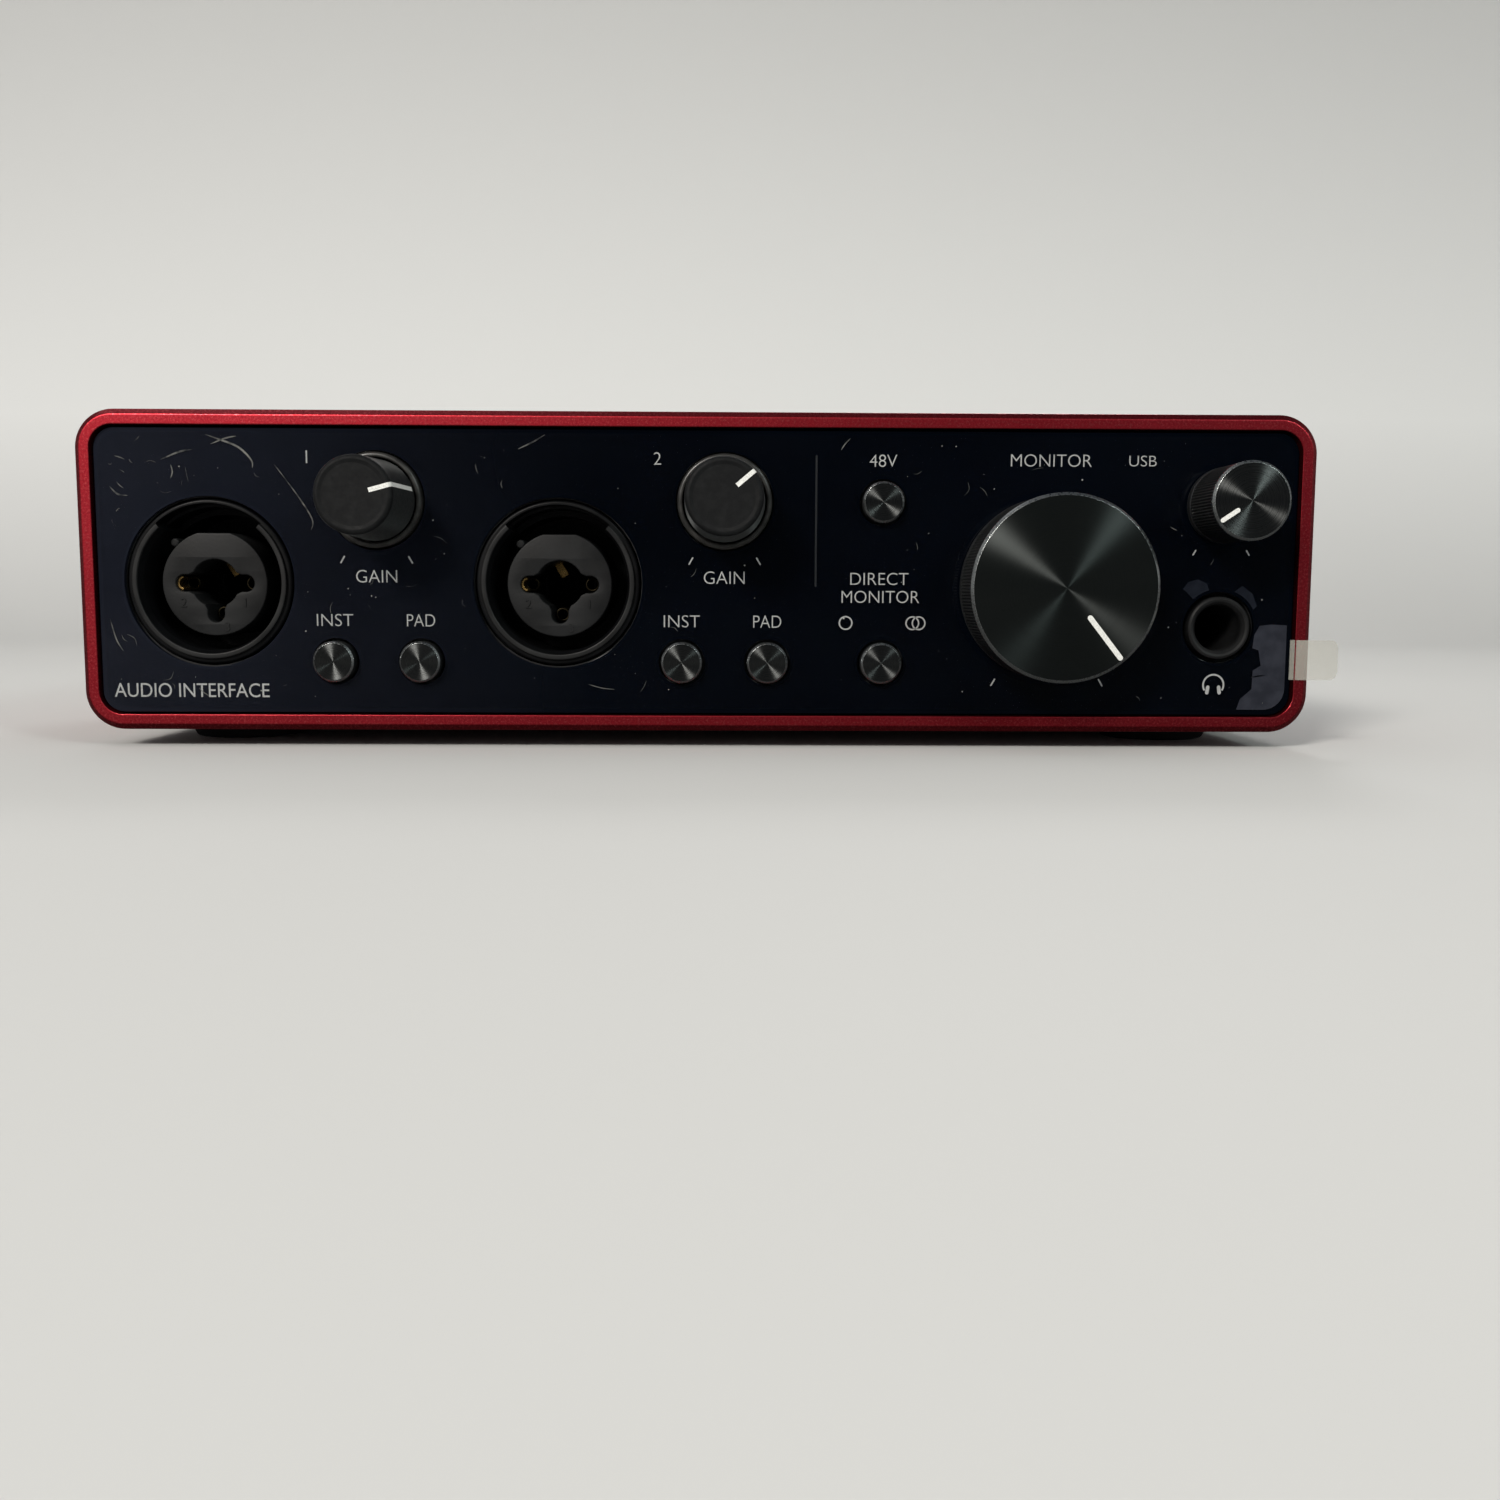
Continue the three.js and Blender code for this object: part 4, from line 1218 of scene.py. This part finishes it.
def rear_screw(place):
    node = f"rear_screw_{place}"
    start, end = depths(node, REAR)
    seat = end - 1.3
    shank = [(0, start), *thread(start, seat - 1.0, 0.5, 0.25, 1.18, 1.4), (1.3, seat - 0.3), (1.3, seat)]
    body = turned([*shank, (2.6, seat, 0.1), (2.55, end - 0.5, 0.4), (1.7, end, 0.5), (0, end)], 64)
    drive = plate([circle(1.0, sides=6)], seat + 0.35, end + 1)
    stand_in(node, f"{node}_head", carved(body, [drive]), BLACK_METAL, "black_steel", on_rear(node))


def line_output(side):
    jack, nut = f"line_output_jack_{side}", f"line_output_nut_{side}"
    start, end = depths(jack, REAR)
    shoulder, inner = -3.1, 3.3
    bush = turned(
        [
            (4.1, start + 0.4),
            *thread(shoulder - 0.4, end - 0.5, 0.45, 0.22, 4.16, 4.4),
            *((4.15, end, 0.15), (3.6, end, 0.15), (inner, end - 0.35, 0.1)),
            *((inner, start + 1.0), (0, start + 1.0), (0, start + 0.4)),
        ]
    )
    box = plate([rounded_box(15, 15, 1), circle(4.11, sides=64)], start, shoulder, 0.2)
    stand_in(jack, f"line_output_body_{side}", merged([bush, box]), SOCKET, "socket_plastic", on_rear(jack))
    seat, top = depths(nut, REAR)
    corner = across(nut) / 2
    outer = corner - 0.05
    hexagon = plate([circle(corner, sides=6), circle(4.5, sides=64)], seat, top)
    barrel = turned([(0, seat), (outer, seat), (outer, top - 0.45), (corner - 0.8, top), (0, top)], 96)
    shape = carved(hexagon, [barrel], "INTERSECT")
    stand_in(nut, f"line_output_hex_{side}", shape, BLACK_METAL, "black_steel", on_rear(nut))


def usb_socket():
    start, end = depths("usb_c_shell", REAR)
    outline = stadium(8.94, 3.26)
    shell = plate([outline, stadium(8.24, 2.56)], start + 0.6, end, 0.08)
    back = plate([outline], start, start + 0.59, 0.08)
    whole = merged([shell, back])
    stand_in("usb_c_shell", "usb_c_metal_shell", whole, STEEL, "steel", on_rear("usb_c_shell"))
    start, end = depths("usb_c_tongue", REAR)
    tongue = block(6.6, end - start, 0.7, 0, (start + end) / 2, 0, 0.12)
    at = on_rear("usb_c_tongue")
    stand_in("usb_c_tongue", "usb_c_tongue_board", tongue, COMPONENT, "component", at)
    pins, pitch = 12, 0.5
    strips = [
        block(0.26, 3.6, 0.04, (i - (pins - 1) / 2) * pitch, end - 2.1, side * 0.365)
        for i in range(pins)
        for side in (-1, 1)
    ]
    piece("usb_c_contacts", merged(strips), GOLD, at, slot="gold")


def lock_plate():
    front, back = depths("lock_plate", REAR)
    made = plate([rounded_box(14, 9, 1.5), rounded_box(7, 3, 1, steps=6)], front, back, 0.12)
    stand_in("lock_plate", "lock_slot_plate", made, BLACK_METAL, "black_steel", on_rear("lock_plate"))


# ---- inside


def dress(nodes, look):
    """Gives CAD nodes that stay as they are a material and softened edges."""
    for node in nodes:
        made = frame["nodes"][node]
        made.data.materials.clear()
        made.data.materials.append(look)
        soften = made.modifiers.new("soften", "BEVEL")
        soften.width = 0.12 * MM
        soften.segments = 2
        soften.limit_method = "ANGLE"
        soften.angle_limit = math.radians(50)


def inside():
    dress([f"{name}_switch" for name in BUTTONS] + [f"{name}_pot" for name in KNOBS], COMPONENT)
    dress([f"{name}_shaft" for name in KNOBS], STEEL)
    dress(["front_board", "main_board"], BOARD)
    dress(["usb_controller_chip", "converter_chip"], COMPONENT)
    dress(["reservoir_capacitor"], BLACK_METAL)
    dress(["ribbon_cable", "ribbon_socket_front", "ribbon_socket_main"], RIBBON)
    dress(["front_panel"], PANEL)


# ---- camera, light and floor


def photo_camera():
    """The photograph's own view, from a little below the top of the case and close in."""
    lens = bpy.data.cameras.new("camera")
    lens.lens = 34.8
    lens.sensor_width = 36
    lens.clip_start = 0.005
    lens.clip_end = 30
    camera = bpy.data.objects.new("camera", lens)
    scene.collection.objects.link(camera)
    ahead = Vector((0.01297, 0.99411, -0.10762))
    right = Vector((0.99991, -0.01261, 0.00398))
    down = Vector((0.0026, -0.10767, -0.99418))
    turn = Matrix((right, -down, -ahead)).transposed()
    camera.matrix_world = Matrix.Translation((0.0046, FRONT - 0.207, MIDDLE - 0.0028)) @ turn.to_4x4()
    scene.camera = camera


def area_light(name, place, target, size, power, colour=(1, 1, 1)):
    data = bpy.data.lights.new(name, "AREA")
    data.shape = "RECTANGLE"
    data.size, data.size_y = size
    data.energy = power
    data.color = colour
    lamp = bpy.data.objects.new(name, data)
    scene.collection.objects.link(lamp)
    lamp.location = place
    lamp.rotation_euler = (Vector(target) - Vector(place)).to_track_quat("-Z", "Y").to_euler()
    return lamp


def surround():
    """The world: pale to look at, even for lighting, and dark where metal mirrors its front and top."""
    world = bpy.data.worlds.new("surround")
    scene.world = world
    world.use_nodes = True
    graph = Graph(world.node_tree)
    behind = graph.ranged(graph.along("Y", "Generated"), 0, 1, -0.7, 0.3)
    low = graph.ranged(graph.along("Z", "Generated"), 1, 0, 0.25, 0.8)
    mirrored = graph.mix(graph.maths("MULTIPLY", behind, low), (0.03, 0.034, 0.042), (0.45, 0.45, 0.44))
    path = graph.node("LightPath").outputs
    lit = graph.mix(path["Is Glossy Ray"], (0.52, 0.52, 0.52), mirrored)
    seen = graph.mix(path["Is Camera Ray"], lit, (0.6, 0.6, 0.58))
    graph.feed(world.node_tree.nodes["Background"].inputs["Color"], seen)


def studio():
    """A seamless pale sweep, two lamps in front, one overhead and one behind, and the surround."""
    half, front, rear, curve, top = 4.0, -3.0, 1.1, 0.7, 3.0
    profile = [(front, 0), (rear - curve, 0)]
    profile += [
        (rear - curve + curve * math.sin(a), curve - curve * math.cos(a))
        for a in (math.pi / 2 * i / 16 for i in range(1, 17))
    ]
    profile.append((rear, top))
    points = [(x, y, z) for y, z in profile for x in (-half, half)]
    faces = [(2 * i, 2 * i + 1, 2 * i + 3, 2 * i + 2) for i in range(len(profile) - 1)]
    mesh = bpy.data.meshes.new("sweep")
    mesh.from_pydata(points, [], faces)
    mesh.shade_smooth()
    mesh.materials.append(floor_grey())
    sweep = bpy.data.objects.new("sweep", mesh)
    scene.collection.objects.link(sweep)

    area_light("key", (-0.82, -1.55, 1.0), (0, FRONT, MIDDLE), (0.42, 0.42), 31, (1, 0.95, 0.89))
    area_light("cross", (1.0, -1.15, 0.82), (0, FRONT, MIDDLE), (0.26, 0.26), 6.5, (0.88, 1, 0.96))
    area_light("top", (-0.4, 0.7, 1.3), (0, 0.4, 0), (1.6, 0.8), 2)
    area_light("rear", (0.3, 1.0, 0.82), (0, REAR, MIDDLE), (0.3, 0.3), 0.24).data.spread = math.radians(50)
    surround()
    scene.view_settings.view_transform = "Standard"
    scene.view_settings.look = "None"


# ---- assembly

photo_camera()
studio()
case_sleeve()
for corner in ("front_left", "front_right", "rear_left", "rear_right"):
    rubber_foot(f"foot_{corner}")
overlay_skin()
front_print()
protective_film()
film_tab()
film_lifts()
film_marks()
film_dust()
for number in (1, 2):
    socket_body(number)
    socket_insert(number)
    pin_contacts(number)
    tip_spring(number)
    gain_knob(number)
    halo_ring(number)
knurled_knob("monitor", 180, (1.45, 9.6), 0.38, 0.75, (7.7, 0.72, 8.6))
knurled_knob("phones", 80, (1.0, 9.8), 0.3, 0.08, (3.0, 0.6, 3.55))
for button in BUTTONS:
    push_button(button)
headphone_socket()
rear_skin()
for screw in SCREW_PLACES:
    rear_screw(screw)
for output in ("left", "right"):
    line_output(output)
usb_socket()
lock_plate()
inside()
